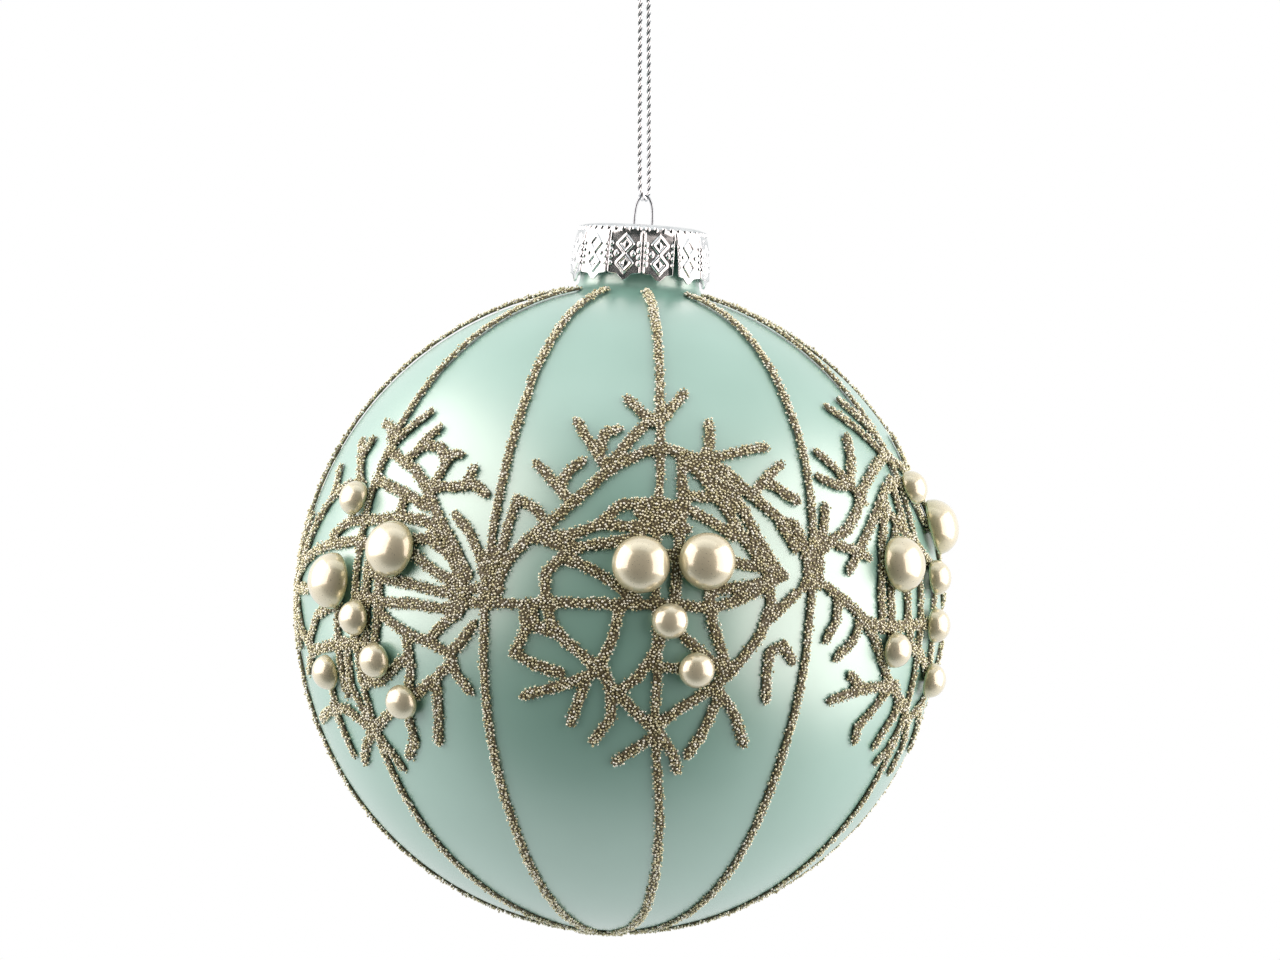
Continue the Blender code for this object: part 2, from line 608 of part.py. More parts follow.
def build_trails():
    """The twelve trails, the two loose strokes and the boss at the bottom."""
    made = []
    for name, shift, line, strokes in TRAILS:
        lon0 = line[5][0] + shift
        own = [(line, LINE_WIDTH)] + [(stroke, TRAIL_WIDTH) for stroke in strokes]
        cuts = []
        for other_name, other_shift, other_line, _ in TRAILS:
            if other_name != name:
                cuts.extend(chart_strokes([(other_line, LINE_WIDTH)], other_shift, lon0))
        for other, other_shift in made:
            cuts.extend(chart_strokes(other, other_shift, lon0))
        trail_body(name, chart_strokes(own, shift, lon0), cuts, lon0)
        made.append((own[1:], shift))
    for name, shift in (("trail_loose_front", 0), ("trail_loose_back", 180)):
        lon0 = CENTRE_LOOSE[0][2][0] + shift
        own = [(stroke, TRAIL_WIDTH) for stroke in CENTRE_LOOSE]
        trail_body(name, chart_strokes(own, shift, lon0), [], lon0)
    bm = bmesh.new()
    rings = []
    for radius, height in ((4.0, -50.1), (4.1, -50.65), (3.4, -51.1)):
        ring = []
        for k in range(14):
            turn = 2.0 * math.pi * k / 14
            ring.append(at_ball(math.cos(turn) * radius, math.sin(turn) * radius, height))
        rings.append(ring)
    rings[0] = [point + Vector((0, 0, -0.00022)) for point in rings[0]]
    loft(bm, rings, True, True)
    add_object("trail_bottom_boss", bm, CHAMPAGNE_BEADS, at_ball(0, 0, 0), False)


def build_pearls():
    """Flat-backed half pearls, seated over the trails."""
    for set_name, shift, pearls in PEARL_SETS:
        for number, (lon, lat, size) in enumerate(pearls, 1):
            radius, height = PEARL_LARGE if size == "large" else PEARL_SMALL
            outward = (on_sphere(lon + shift, lat, 1.0) - at_ball(0, 0, 0)).normalized()
            turn = outward.to_track_quat("Z", "Y").to_matrix().to_4x4()
            place = Matrix.Translation(on_sphere(lon + shift, lat, PEARL_BASE)) @ turn
            sides = 10 if size == "large" else 8
            bm = bmesh.new()
            rings = []
            for share, lift in ((1.0, 0.0), (0.90, 0.46), (0.52, 0.86)):
                ring = []
                for k in range(sides):
                    angle = 2.0 * math.pi * k / sides
                    spot = Vector((math.cos(angle) * radius * share, math.sin(angle) * radius * share,
                                   height * lift))
                    ring.append(place @ (spot * MM))
                rings.append(ring)
            rows = loft(bm, rings, True, False)
            top = bm.verts.new(place @ Vector((0, 0, height * MM)))
            for i in range(sides):
                bm.faces.new((rows[-1][i], rows[-1][(i + 1) % sides], top))
            name = "pearl_{}_{}_{}".format(set_name, size, number)
            add_object(name, bm, CREAM_PEARL, on_sphere(lon + shift, lat, PEARL_BASE), True)


# ---- ball, cap, wire and cord -------------------------------------------------------------------
def build_ball():
    """Hollow glass ball with a short open neck."""
    outline = [(0.0, -BALL_RADIUS)]
    for lat in range(-78, 67, 12):
        angle = math.radians(lat)
        outline.append((math.cos(angle) * BALL_RADIUS, math.sin(angle) * BALL_RADIUS))
    outline += [(10.9, 48.75), (9.7, 49.6), (NECK_RADIUS, 51.0), (NECK_RADIUS, NECK_TOP),
                (NECK_BORE, NECK_TOP), (NECK_BORE, 50.4), (9.2, 48.1)]
    inner = BALL_RADIUS - GLASS_WALL
    for lat in range(66, -79, -18):
        angle = math.radians(lat)
        outline.append((math.cos(angle) * inner, math.sin(angle) * inner))
    outline.append((0.0, -inner))
    add_object("glass_ball", lathe_closed(outline, 32), MINT_GLASS, at_ball(0, 0, 0), True)


def cap_ring(radius, heights):
    """Points of one ring of the cap, two to a panel, the first on a crease."""
    ring = []
    count = 2 * CAP_PANELS
    for k in range(count):
        turn = 2.0 * math.pi * k / count + math.radians(1.0)
        share = radius if k % 2 == 0 else radius * 1.012
        ring.append(at_ball(math.sin(turn) * share, -math.cos(turn) * share, heights[k % 2]))
    return ring


def build_cap():
    """Crown cap: twelve panels with pointed lower edges, two wire holes and one open seam."""
    edge = (CAP_CREASE, CAP_TIP)
    bm = bmesh.new()
    outer = [(10.65, edge), (10.45, (54.6, 54.6)), (10.1, (57.4, 57.4)), (9.65, (58.8, 58.8)),
             (8.8, (CAP_TOP, CAP_TOP))]
    inner = [(8.7, (CAP_TOP - CAP_WALL,) * 2), (9.45, (58.5, 58.5)), (9.75, (57.3, 57.3)),
             (10.1, (54.6, 54.6)), (10.3, edge)]
    rows = [[bm.verts.new(p) for p in cap_ring(radius, heights)] for radius, heights in outer]
    count = 2 * CAP_PANELS
    for low, high in zip(rows, rows[1:]):
        for i in range(count):
            bm.faces.new((low[i], low[(i + 1) % count], high[(i + 1) % count], high[i]))
    bm.faces.new(rows[-1])
    under = [[bm.verts.new(p) for p in cap_ring(radius, heights)] for radius, heights in inner]
    bm.faces.new(tuple(reversed(under[0])))
    for high, low in zip(under, under[1:]):
        for i in range(count):
            bm.faces.new((high[i], high[(i + 1) % count], low[(i + 1) % count], low[i]))
    for i in range(count):
        j = (i + 1) % count
        bm.faces.new((rows[0][i], under[-1][i], under[-1][j], rows[0][j]))
    cap = add_object("cap_shell", bm, SILVER_PLATE, at_ball(0, 0, CAP_TOP), True)
    for side in (-1, 1):
        hole = tube([at_ball(side * WIRE_HALF_SPAN, 0, 57), at_ball(side * WIRE_HALF_SPAN, 0, 61)],
                    WIRE_HOLE * MM, 12)
        cut_away(cap, hole, "wire_hole")
    turn = math.radians(31.0)
    out = Vector((math.sin(turn), -math.cos(turn), 0.0))
    along = Vector((math.cos(turn), math.sin(turn), 0.0))
    slit = bmesh.new()
    rings = []
    for height, half in ((49.5, 0.26), (57.0, 0.10)):
        middle = at_ball(0, 0, height)
        rings.append([middle + (out * 8.5 - along * half) * MM, middle + (out * 8.5 + along * half) * MM,
                      middle + (out * 12.5 + along * half) * MM, middle + (out * 12.5 - along * half) * MM])
    loft(slit, rings, True, True)
    cut_away(cap, slit, "open_seam")


def cut_away(body, cutter_mesh, name):
    """Take the cutter's volume out of a body and drop the cutter."""
    bmesh.ops.recalc_face_normals(cutter_mesh, faces=cutter_mesh.faces)
    mesh = bpy.data.meshes.new(name)
    cutter_mesh.to_mesh(mesh)
    cutter_mesh.free()
    cutter = bpy.data.objects.new(name, mesh)
    bpy.context.scene.collection.objects.link(cutter)
    join_or_cut(body, cutter, "DIFFERENCE")


def join_or_cut(body, other, operation):
    """Apply one exact Boolean and remove the second object."""
    step = body.modifiers.new("boolean", "BOOLEAN")
    step.operation = operation
    step.solver = "EXACT"
    step.object = other
    bpy.context.view_layer.update()
    graph = bpy.context.evaluated_depsgraph_get()
    result = bpy.data.meshes.new_from_object(body.evaluated_get(graph))
    body.modifiers.clear()
    old = body.data
    body.data = result
    bpy.data.meshes.remove(old)
    bpy.data.objects.remove(other, do_unlink=True)


def build_wire():
    """Spring wire: an arch above the cap, two legs spread inside the neck."""
    half = [(0.0, WIRE_APEX), (0.55, 64.02), (0.98, 63.4), (1.25, 62.4), (1.38, 61.0), (1.4, 59.6),
            (1.4, 57.6), (2.4, 55.6), (5.6, 51.6), (7.0, 49.2), (7.25, 46.0), (7.2, 39.5)]
    points = [at_ball(-x, 0, z) for x, z in reversed(half)]
    points += [at_ball(x, 0, z) for x, z in half[1:]]
    add_object("wire_hanger", tube(points, WIRE_RADIUS * MM, 8), STEEL_WIRE, at_ball(0, 0, SWING_HEIGHT), True)


def cord_place(height, x, y):
    """World point beside the leaning cord line, the height counted from the ball's centre."""
    return Vector((((HANG_HEIGHT - height) * CORD_LEAN + x) * MM, y * MM, (height - HANG_HEIGHT) * MM))


def build_cord():
    """Cord: two strands with their bight under the wire's arch, an eye above and the tied knot."""
    middle = SWING_HEIGHT + BIGHT_RADIUS
    aside = Vector((0.39, 0.92)).normalized()
    rising = [(EYE_BOTTOM - 0.4, 0.67, 0.28), (86.0, 0.68, 0.45), (76.0, 0.70, 0.9), (69.0, 0.71, 1.45)]
    points = [cord_place(height, -x, -y) for height, x, y in rising]
    for k in range(9):
        turn = math.pi * k / 8
        reach = -math.cos(turn) * BIGHT_RADIUS
        points.append(cord_place(middle - math.sin(turn) * BIGHT_RADIUS, aside.x * reach, aside.y * reach))
    points += [cord_place(height, x, y) for height, x, y in reversed(rising)]
    add_object("cord_strands", tube(points, CORD_RADIUS * MM, 8), SILVER_THREAD, cord_place(EYE_BOTTOM, 0, 0),
               True)
    half = [(EYE_BOTTOM, 0.67, 0.28), (96.8, 0.95, 0.2), (99.2, 2.1, 0.1), (102.0, 2.75, 0.0), (104.4, 2.6, 0.0),
            (106.3, 1.85, 0.0), (107.1, 0.95, 0.0)]
    points = [cord_place(height, -x, -y) for height, x, y in half]
    points.append(cord_place(107.4, 0, 0))
    points += [cord_place(height, x, y) for height, x, y in reversed(half)]
    add_object("cord_eye", tube(points, CORD_RADIUS * MM, 8), SILVER_THREAD, Vector((0, 0, 0)), True)

    bm = bmesh.new()
    rings = []
    for share, lift in ((0.45, -0.93), (0.80, -0.62), (1.0, 0.0), (0.80, 0.62), (0.45, 0.93)):
        ring = []
        for k in range(12):
            turn = 2.0 * math.pi * k / 12
            ring.append(cord_place(KNOT_CENTRE + 1.7 * lift, math.cos(turn) * 1.8 * share,
                                   math.sin(turn) * 1.5 * share))
        rings.append(ring)
    loft(bm, rings, True, True)
    knot = add_object("cord_knot", bm, SILVER_THREAD, cord_place(KNOT_CENTRE, 0, 0), True)
    for side in (-1, 1):
        tail = tube([cord_place(110.6, side * 0.7, 0), cord_place(112.6, side * 0.95, 0.1),
                     cord_place(115.2, side * 1.7, 0.2)], CORD_RADIUS * MM, 8)
        bmesh.ops.recalc_face_normals(tail, faces=tail.faces)
        mesh = bpy.data.meshes.new("tail")
        tail.to_mesh(mesh)
        tail.free()
        piece = bpy.data.objects.new("tail", mesh)
        bpy.context.scene.collection.objects.link(piece)
        join_or_cut(knot, piece, "UNION")


for old in list(bpy.data.objects):
    bpy.data.objects.remove(old, do_unlink=True)
build_ball()
build_trails()
build_pearls()
build_cap()
build_wire()
build_cord()
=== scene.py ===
"""Dresses the hanging glass ball ornament: satin mint glass, bead trails, half pearls, crown cap, cord.

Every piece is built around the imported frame, in metres, +Z up, and rides on one of its bodies.
"""

from __future__ import annotations

import logging
import math
from dataclasses import dataclass, field
from enum import Enum
from typing import Any, ClassVar, Iterable, Sequence

import bpy
import bmesh
import numpy as np
from mathutils import Matrix, Vector
from mathutils.bvhtree import BVHTree
from mathutils.geometry import delaunay_2d_cdt

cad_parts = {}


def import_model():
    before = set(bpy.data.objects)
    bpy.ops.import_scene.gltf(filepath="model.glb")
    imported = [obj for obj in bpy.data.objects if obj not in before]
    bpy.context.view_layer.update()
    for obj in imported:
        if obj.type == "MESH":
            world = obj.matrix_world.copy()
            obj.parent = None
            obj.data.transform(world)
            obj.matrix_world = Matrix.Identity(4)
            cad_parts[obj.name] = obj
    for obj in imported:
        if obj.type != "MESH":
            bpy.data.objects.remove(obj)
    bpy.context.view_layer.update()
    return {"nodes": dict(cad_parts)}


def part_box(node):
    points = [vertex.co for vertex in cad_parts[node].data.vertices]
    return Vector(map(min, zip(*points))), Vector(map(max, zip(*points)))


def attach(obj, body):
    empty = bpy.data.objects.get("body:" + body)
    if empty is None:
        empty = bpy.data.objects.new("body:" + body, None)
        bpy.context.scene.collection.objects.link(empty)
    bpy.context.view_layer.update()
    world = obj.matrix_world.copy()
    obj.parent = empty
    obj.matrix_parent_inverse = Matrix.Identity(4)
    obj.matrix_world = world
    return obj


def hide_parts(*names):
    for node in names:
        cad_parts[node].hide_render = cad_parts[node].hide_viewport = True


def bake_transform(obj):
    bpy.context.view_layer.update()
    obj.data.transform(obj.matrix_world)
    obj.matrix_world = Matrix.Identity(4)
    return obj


LOG = logging.getLogger("ornament")
Socket = bpy.types.NodeSocket
Stops = Sequence[tuple[float, str]]
MM = 0.001
SEED = 20240


class Body(str, Enum):
    """The frame's moving bodies."""

    EYE = "hang_eye"
    CORD = "cord"
    WIRE = "wire"
    CAP = "cap"
    BALL = "ball"


class Slot(str, Enum):
    """The record's material slots."""

    GLASS = "mint_glass"
    BEADS = "champagne_beads"
    PEARL = "cream_pearl"
    PLATE = "silver_plate"
    WIRE = "steel_wire"
    THREAD = "silver_thread"


# ---------------------------------------------------------------- colours and shader nodes


def linear(hex_colour: str) -> tuple[float, float, float, float]:
    """Turns an sRGB hex colour into linear RGBA.

    Args:
        hex_colour: six hex digits, such as "A8D5C8".

    Returns:
        Red, green, blue and an alpha of 1, linear.
    """
    values = [int(hex_colour[k : k + 2], 16) / 255 for k in (0, 2, 4)]
    red, green, blue = (v / 12.92 if v <= 0.04045 else ((v + 0.055) / 1.055) ** 2.4 for v in values)
    return red, green, blue, 1.0


def per_metre(millimetres: float) -> float:
    """Pattern scale, in features per metre, for features this many millimetres apart."""
    return 1000.0 / millimetres


def add_node(
    tree: bpy.types.NodeTree,
    kind: str,
    inputs: dict[str | int, Any] | None = None,
    links: dict[str | int, Socket] | None = None,
    **settings: Any,
) -> bpy.types.Node:
    """Adds one node with its settings, fixed inputs and links.

    Args:
        tree: the node tree that gets it.
        kind: the node's type name, such as "ShaderNodeBump".
        inputs: fixed values by socket name or number.
        links: the output that feeds each socket, by socket name or number.
        **settings: the node's own properties.

    Returns:
        The new node.
    """
    node = tree.nodes.new(kind)
    for key, value in settings.items():
        setattr(node, key, value)
    for key, value in (inputs or {}).items():
        node.inputs[key].default_value = value
    for key, source in (links or {}).items():
        tree.links.new(source, node.inputs[key])
    return node


def set_ramp(node: bpy.types.Node, stops: Stops) -> None:
    """Gives a colour ramp its stops.

    Args:
        node: the ramp node.
        stops: position and hex colour of each stop, in order.
    """
    elements = node.color_ramp.elements
    while len(elements) < len(stops):
        elements.new(0.5)
    for element, (position, colour) in zip(elements, stops):
        element.position = position
        element.color = linear(colour)


class Finish:
    """A named procedural material, made once and shared.

    One soft noise mottles the surface: the colour runs along the stops with it, and the
    roughness from the smoothest to the roughest. The subclasses give the sizes and colours,
    and their own methods where the finish does more than that.
    """

    name: ClassVar[str]
    uniform: ClassVar[dict[str, float]]
    mottle_mm: ClassVar[float]
    mottle_detail: ClassVar[float] = 2.0
    stops: ClassVar[Stops]
    roughness: ClassVar[tuple[float, float] | None] = None
    noise_range: ClassVar[tuple[float, float]] = (0.3, 0.7)

    def material(self) -> bpy.types.Material:
        """Makes the material at its first use.

        Returns:
            The material.
        """
        found = bpy.data.materials.get(self.name)
        if found:
            return found
        made = bpy.data.materials.new(self.name)
        made.use_nodes = True
        tree = made.node_tree
        tree.nodes.clear()
        shader = add_node(tree, "ShaderNodeBsdfPrincipled", self.uniform)
        add_node(tree, "ShaderNodeOutputMaterial", links={"Surface": shader.outputs["BSDF"]})
        place = self.lay(tree, add_node(tree, "ShaderNodeTexCoord").outputs["Object"])
        grain = {"Scale": per_metre(self.mottle_mm), "Detail": self.mottle_detail}
        mottle = add_node(tree, "ShaderNodeTexNoise", grain, {"Vector": place}).outputs["Fac"]
        colour = add_node(tree, "ShaderNodeValToRGB", links={"Fac": self.tone(tree, mottle)})
        set_ramp(colour, self.stops)
        tree.links.new(colour.outputs["Color"], shader.inputs["Base Color"])
        if self.roughness:
            ends = dict(zip(("From Min", "From Max", "To Min", "To Max"), self.noise_range + self.roughness))
            gloss = add_node(tree, "ShaderNodeMapRange", ends, {"Value": mottle})
            tree.links.new(gloss.outputs["Result"], shader.inputs["Roughness"])
        normal = self.relief(tree, place, mottle)
        if normal:
            tree.links.new(normal, shader.inputs["Normal"])
        return made

    def lay(self, tree: bpy.types.NodeTree, place: Socket) -> Socket:
        """Lays the noise on the surface. A finish with a grain stretches the place here."""
        return place

    def tone(self, tree: bpy.types.NodeTree, mottle: Socket) -> Socket:
        """The value that the colour follows: the noise itself, unless the finish has its own."""
        return mottle

    def relief(self, tree: bpy.types.NodeTree, place: Socket, mottle: Socket) -> Socket | None:
        """The tilted normal of a finish that is not smooth to the eye, or None."""
        return None


class SatinMintLacquer(Finish):
    """Blown glass silvered inside and sprayed outside with satin mint lacquer.

    The eye sees broad, soft, almost white reflections that fade into a deeper sea green,
    over a faint cloudiness where the spray is thicker. Most of the mirror is hidden by the
    lacquer, and a soft clear coat lies on it.
    """

    name = "satin mint lacquer on silvered glass"
    uniform = {"Metallic": 0.15, "Coat Weight": 1.0, "Coat Roughness": 0.36, "Coat IOR": 2.6}
    mottle_mm = 22.0
    mottle_detail = 3.0
    stops = ((0.25, "85B9AA"), (0.7, "91C4B6"))
    roughness = (0.33, 0.38)
    frost_mm = 0.35  # the real spray grain is finer, and is drawn coarse enough to show
    frost_height = 0.03 * MM

    def relief(self, tree: bpy.types.NodeTree, place: Socket, mottle: Socket) -> Socket:
        """Frosts the surface with the fine spray.

        Args:
            tree: the material's node tree.
            place: the object coordinates, in metres.
            mottle: the noise over the surface; not used.

        Returns:
            The tilted normal.
        """
        grain = {"Scale": per_metre(self.frost_mm), "Detail": 1.0}
        frost = add_node(tree, "ShaderNodeTexNoise", grain, {"Vector": place}).outputs["Fac"]
        tilt = {"Strength": 0.06, "Distance": self.frost_height}
        return add_node(tree, "ShaderNodeBump", tilt, {"Height": frost}).outputs["Normal"]


class ChampagneBeads(Finish):
    """Glass micro-beads, metallised in champagne by vacuum.

    The eye sees a fine sparkle: pale silver gold beads among darker khaki ones, each a bright
    film under a thin glass skin.
    """

    name = "champagne metallised glass beads"
    uniform = {"Metallic": 0.45, "Roughness": 0.2, "Coat Weight": 0.5, "Coat Roughness": 0.08}
    mottle_mm = 0.4
    mottle_detail = 1.0
    stops = ((0.0, "98926C"), (0.25, "E0DCB0"), (0.6, "F8F6DA"), (1.0, "FDFFF6"))
    film_share = 0.35
    film_offset = -0.17

    def tone(self, tree: bpy.types.NodeTree, mottle: Socket) -> Socket:
        """Gives each bead its own tone, and a mottled film.

        Args:
            tree: the material's node tree.
            mottle: the noise over the surface.

        Returns:
            The value that the colour follows.
        """
        tone = add_node(tree, "ShaderNodeAttribute", attribute_name="tone").outputs["Fac"]
        amount = {1: self.film_share, 2: self.film_offset}
        film = add_node(tree, "ShaderNodeMath", amount, {0: mottle}, operation="MULTIPLY_ADD").outputs[0]
        both = {0: tone, 1: film}
        return add_node(tree, "ShaderNodeMath", links=both, operation="ADD", use_clamp=True).outputs[0]


class BeadGlueWithGapShade(Finish):
    """Taupe craft adhesive under the beads, dried half matt with bead dust in it.

    The eye sees it only as the dark gaps between beads, speckled with the dust. Its dark
    taupe is partly the adhesive's colour and partly painted shade, the shade between the beads.
    """

    name = "bead adhesive darkened with painted gap shade"
    uniform = {"Roughness": 0.5}
    mottle_mm = 0.3
    # dark stops: partly the adhesive's own colour, partly painted shade between the beads
    stops = ((0.35, "504936"), (0.7, "82795C"))


class PearlLacquer(Finish):
    """Moulded ABS half pearl dipped in cream pearl lacquer.

    The eye sees a silky cream glow with a crisp window-like gloss, and a green-gold rim
    where the lacquer pools thin on the clear edge. The mottle is the swirl of its flakes.
    """

    name = "cream pearl lacquer on ABS"
    uniform = {"Metallic": 0.42, "Coat Weight": 1.0, "Coat Roughness": 0.1, "Coat IOR": 2.0}
    mottle_mm = 0.25
    stops = ((0.0, "A6B272"), (0.16, "D4CDA2"), (0.6, "E6DFC2"))
    roughness = (0.27, 0.31)

    def tone(self, tree: bpy.types.NodeTree, mottle: Socket) -> Socket:
        """Turns from the rim, where dome is 0, to the crown, where it is 1."""
        return add_node(tree, "ShaderNodeAttribute", attribute_name="dome").outputs["Fac"]


class StampedSilver(Finish):
    """Thin aluminium, stamped in a die and vacuum-plated bright silver.

    The eye sees a near mirror that turns black or white with its surroundings, clouded and a
    little darker in patches.
    """

    name = "stamped silver-plated aluminium"
    uniform = {"Metallic": 1.0}
    mottle_mm = 1.2
    mottle_detail = 3.0
    stops = ((0.3, "D4D7DA"), (0.7, "EDEFF1"))
    roughness = (0.15, 0.23)


class DrawnSteelWire(Finish):
    """Spring steel wire, drawn through a die and nickel plated.

    The eye sees a thin grey line with fine lengthwise drawing marks.
    """

    name = "drawn nickel-plated steel wire"
    uniform = {"Metallic": 1.0}
    mottle_mm = 0.12  # real drawing marks are finer, and are drawn coarse enough to show
    stops = ((0.3, "8E959B"), (0.7, "B0B7BD"))
    roughness = (0.18, 0.3)
    stretch = (1.0, 1.0, 0.08)

    def lay(self, tree: bpy.types.NodeTree, place: Socket) -> Socket:
        """Stretches the noise upwards into drawing marks."""
        links = {"Vector": place}
        return add_node(tree, "ShaderNodeMapping", {"Scale": self.stretch}, links).outputs["Vector"]


class MetallicYarn(Finish):
    """Flat silver polyester film wound on a thread, two plies twisted.

    The eye sees a sparkling white silver cord with dark gaps where the plies cross; the dark in
    the gaps is painted shade, deepest where the yarn lies deep between the plies. The
    mottle is the film's narrow turns along each ply.
    """

    name = "silver film yarn"
    uniform = {"Metallic": 0.75}
    mottle_mm = 0.18
    # the darkest stop is the painted shade deep between the plies
    stops = ((0.18, "15181B"), (0.48, "B4BAC0"), (0.8, "EEF2F5"))
    roughness = (0.22, 0.4)
    turn_share = 0.3
    turn_height = 0.03 * MM

    def tone(self, tree: bpy.types.NodeTree, mottle: Socket) -> Socket:
        """Darkens the yarn with painted shade deep between the plies, where depth is 0."""
        depth = add_node(tree, "ShaderNodeAttribute", attribute_name="depth").outputs["Fac"]
        share, links = {1: self.turn_share}, {0: mottle, 2: depth}
        return add_node(tree, "ShaderNodeMath", share, links, operation="MULTIPLY_ADD").outputs[0]

    def relief(self, tree: bpy.types.NodeTree, place: Socket, mottle: Socket) -> Socket:
        """Raises the film's turns."""
        tilt = {"Strength": 0.4, "Distance": self.turn_height}
        return add_node(tree, "ShaderNodeBump", tilt, {"Height": mottle}).outputs["Normal"]


class StudioPaper(Finish):
    """Matt white background paper. The eye sees an even pale floor with a faint tooth."""

    name = "matt white paper"
    uniform = {"Roughness": 0.9}
    mottle_mm = 3.0
    stops = ((0.3, "EDEDEC"), (0.7, "F3F3F2"))


# ---------------------------------------------------------------- mesh tools


def make_mesh(
    name: str,
    points: np.ndarray,
    faces: Iterable[np.ndarray],
    finishes: Sequence[Finish],
) -> bpy.types.Object:
    """Makes a smooth-shaded mesh object from arrays.

    Args:
        name: the piece's name.
        points: vertex positions in metres, one row each.
        faces: arrays of vertex numbers, one array for each count of corners.
        finishes: the finishes that fill its material slots, in order.

    Returns:
        The object, linked into the scene.
    """
    groups = [np.asarray(f, dtype=np.int32) for f in faces if len(f)]
    corners = np.concatenate([g.ravel() for g in groups])
    sizes = np.concatenate([np.full(len(g), g.shape[1], np.int32) for g in groups])
    starts = (np.cumsum(sizes) - sizes).astype(np.int32)
    mesh = bpy.data.meshes.new(name)
    mesh.vertices.add(len(points))
    mesh.vertices.foreach_set("co", np.asarray(points, np.float32).ravel())
    mesh.loops.add(len(corners))
    mesh.loops.foreach_set("vertex_index", corners)
    mesh.polygons.add(len(sizes))
    mesh.polygons.foreach_set("loop_start", starts)
    mesh.polygons.foreach_set("use_smooth", np.full(len(sizes), True))
    mesh.update(calc_edges=True)
    mesh.validate()
    for finish in finishes:
        mesh.materials.append(finish.material())
    made = bpy.data.objects.new(name, mesh)
    bpy.context.scene.collection.objects.link(made)
    return made


def read_rows(items: Any, what: str, width: int, kind: type) -> np.ndarray:
    """Reads one property of all of a mesh's vertices, edges or corners.

    Args:
        items: the mesh's collection of them.
        what: the property's name.
        width: how many numbers it has.
        kind: the numbers' type.

    Returns:
        One row for each item.
    """
    values = np.empty(len(items) * width, kind)
    items.foreach_get(what, values)
    return values.reshape(-1, width)


def paint(piece: bpy.types.Object, attribute: str, values: np.ndarray) -> None:
    """Stores one number per vertex on a piece, for its material to read.

    Args:
        piece: the mesh object.
        attribute: the attribute's name.
        values: one value for each vertex.
    """
    layer = piece.data.attributes.new(attribute, "FLOAT", "POINT")
    layer.data.foreach_set("value", np.asarray(values, np.float32))


def mount_piece(piece: bpy.types.Object, body: Body, slot: Slot, *nodes: str) -> None:
    """Puts a finished piece on its body in place of its solids.

    Args:
        piece: the piece.
        body: the body it rides on.
        slot: the record's slot that its finish stands for; not used.
        *nodes: the frame's solids that it replaces.
    """
    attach(piece, body.value)
    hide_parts(*nodes)
    LOG.info("%s: %d faces on %s", piece.name, len(piece.data.polygons), body.value)


def smooth_line(points: Sequence[Sequence[float]], step: float) -> np.ndarray:
    """Runs a smooth line through points and samples it evenly.

    Args:
        points: the points it passes through.
        step: distance between samples, in the points' unit.

    Returns:
        The samples, one row each, from the first point to the last.
    """
    steps_between = 24
    knots = np.asarray(points, float)
    ends = np.vstack([2 * knots[0] - knots[1], knots, 2 * knots[-1] - knots[-2]])
    t = np.linspace(0, 1, steps_between, endpoint=False)[:, None]
    parts = []
    for before, a, b, after in zip(ends, ends[1:], ends[2:], ends[3:]):
        square, cube = 2 * before - 5 * a + 4 * b - after, 3 * a - before - 3 * b + after
        parts.append(0.5 * (2 * a + (b - before) * t + square * t**2 + cube * t**3))
    fine = np.vstack([*parts, knots[-1:]])
    run = np.concatenate([[0], np.cumsum(np.linalg.norm(np.diff(fine, axis=0), axis=1))])
    count = max(2, int(round(run[-1] / step)) + 1)
    marks = np.linspace(0, run[-1], count)
    return np.column_stack([np.interp(marks, run, fine[:, k]) for k in range(fine.shape[1])])


def frames_along(line: np.ndarray) -> tuple[np.ndarray, np.ndarray]:
    """Two directions across a line that turn as little as possible along it.

    Args:
        line: the line's points.

    Returns:
        The first and the second direction at each point, each of length 1.
    """
    tangents = np.gradient(line, axis=0)
    tangents /= np.linalg.norm(tangents, axis=1)[:, None]
    first = np.cross(tangents[0], (0.0, 1.0, 0.0))
    if np.linalg.norm(first) < 0.1:
        first = np.cross(tangents[0], (1.0, 0.0, 0.0))
    across = [first / np.linalg.norm(first)]
    for tangent in tangents[1:]:
        kept = across[-1] - tangent * (across[-1] @ tangent)
        across.append(kept / np.linalg.norm(kept))
    one = np.array(across)
    return one, np.cross(tangents, one)


def tube(line: np.ndarray, radius: float | np.ndarray, sides: int) -> tuple[np.ndarray, np.ndarray, list]:
    """Sweeps a round tube along a line, with flat closed ends.

    Args:
        line: the line's points.
        radius: the tube's radius, or one for each point.
        sides: corners of its section.

    Returns:
        Points, quads and the two end triangle fans.
    """
    one, two = frames_along(line)
    size = np.broadcast_to(np.asarray(radius, float), len(line))
    turn = 2 * math.pi * np.arange(sides) / sides
    ring = one[:, None] * np.cos(turn)[None, :, None] + two[:, None] * np.sin(turn)[None, :, None]
    points = (line[:, None] + ring * size[:, None, None]).reshape(-1, 3)
    row = np.arange(len(line) - 1)[:, None] * sides
    a, b = row + np.arange(sides), row + (np.arange(sides) + 1) % sides
    quads = np.stack([a, b, b + sides, a + sides], axis=2).reshape(-1, 4)
    points = np.vstack([points, line[:1], line[-1:]])
    first, last = len(points) - 2, len(points) - 1
    ends = np.arange(sides)
    base = (len(line) - 1) * sides
    fans = [
        np.stack([np.full(sides, first), (ends + 1) % sides, ends], axis=1),
        np.stack([np.full(sides, last), base + ends, base + (ends + 1) % sides], axis=1),
    ]
    return points, quads, fans


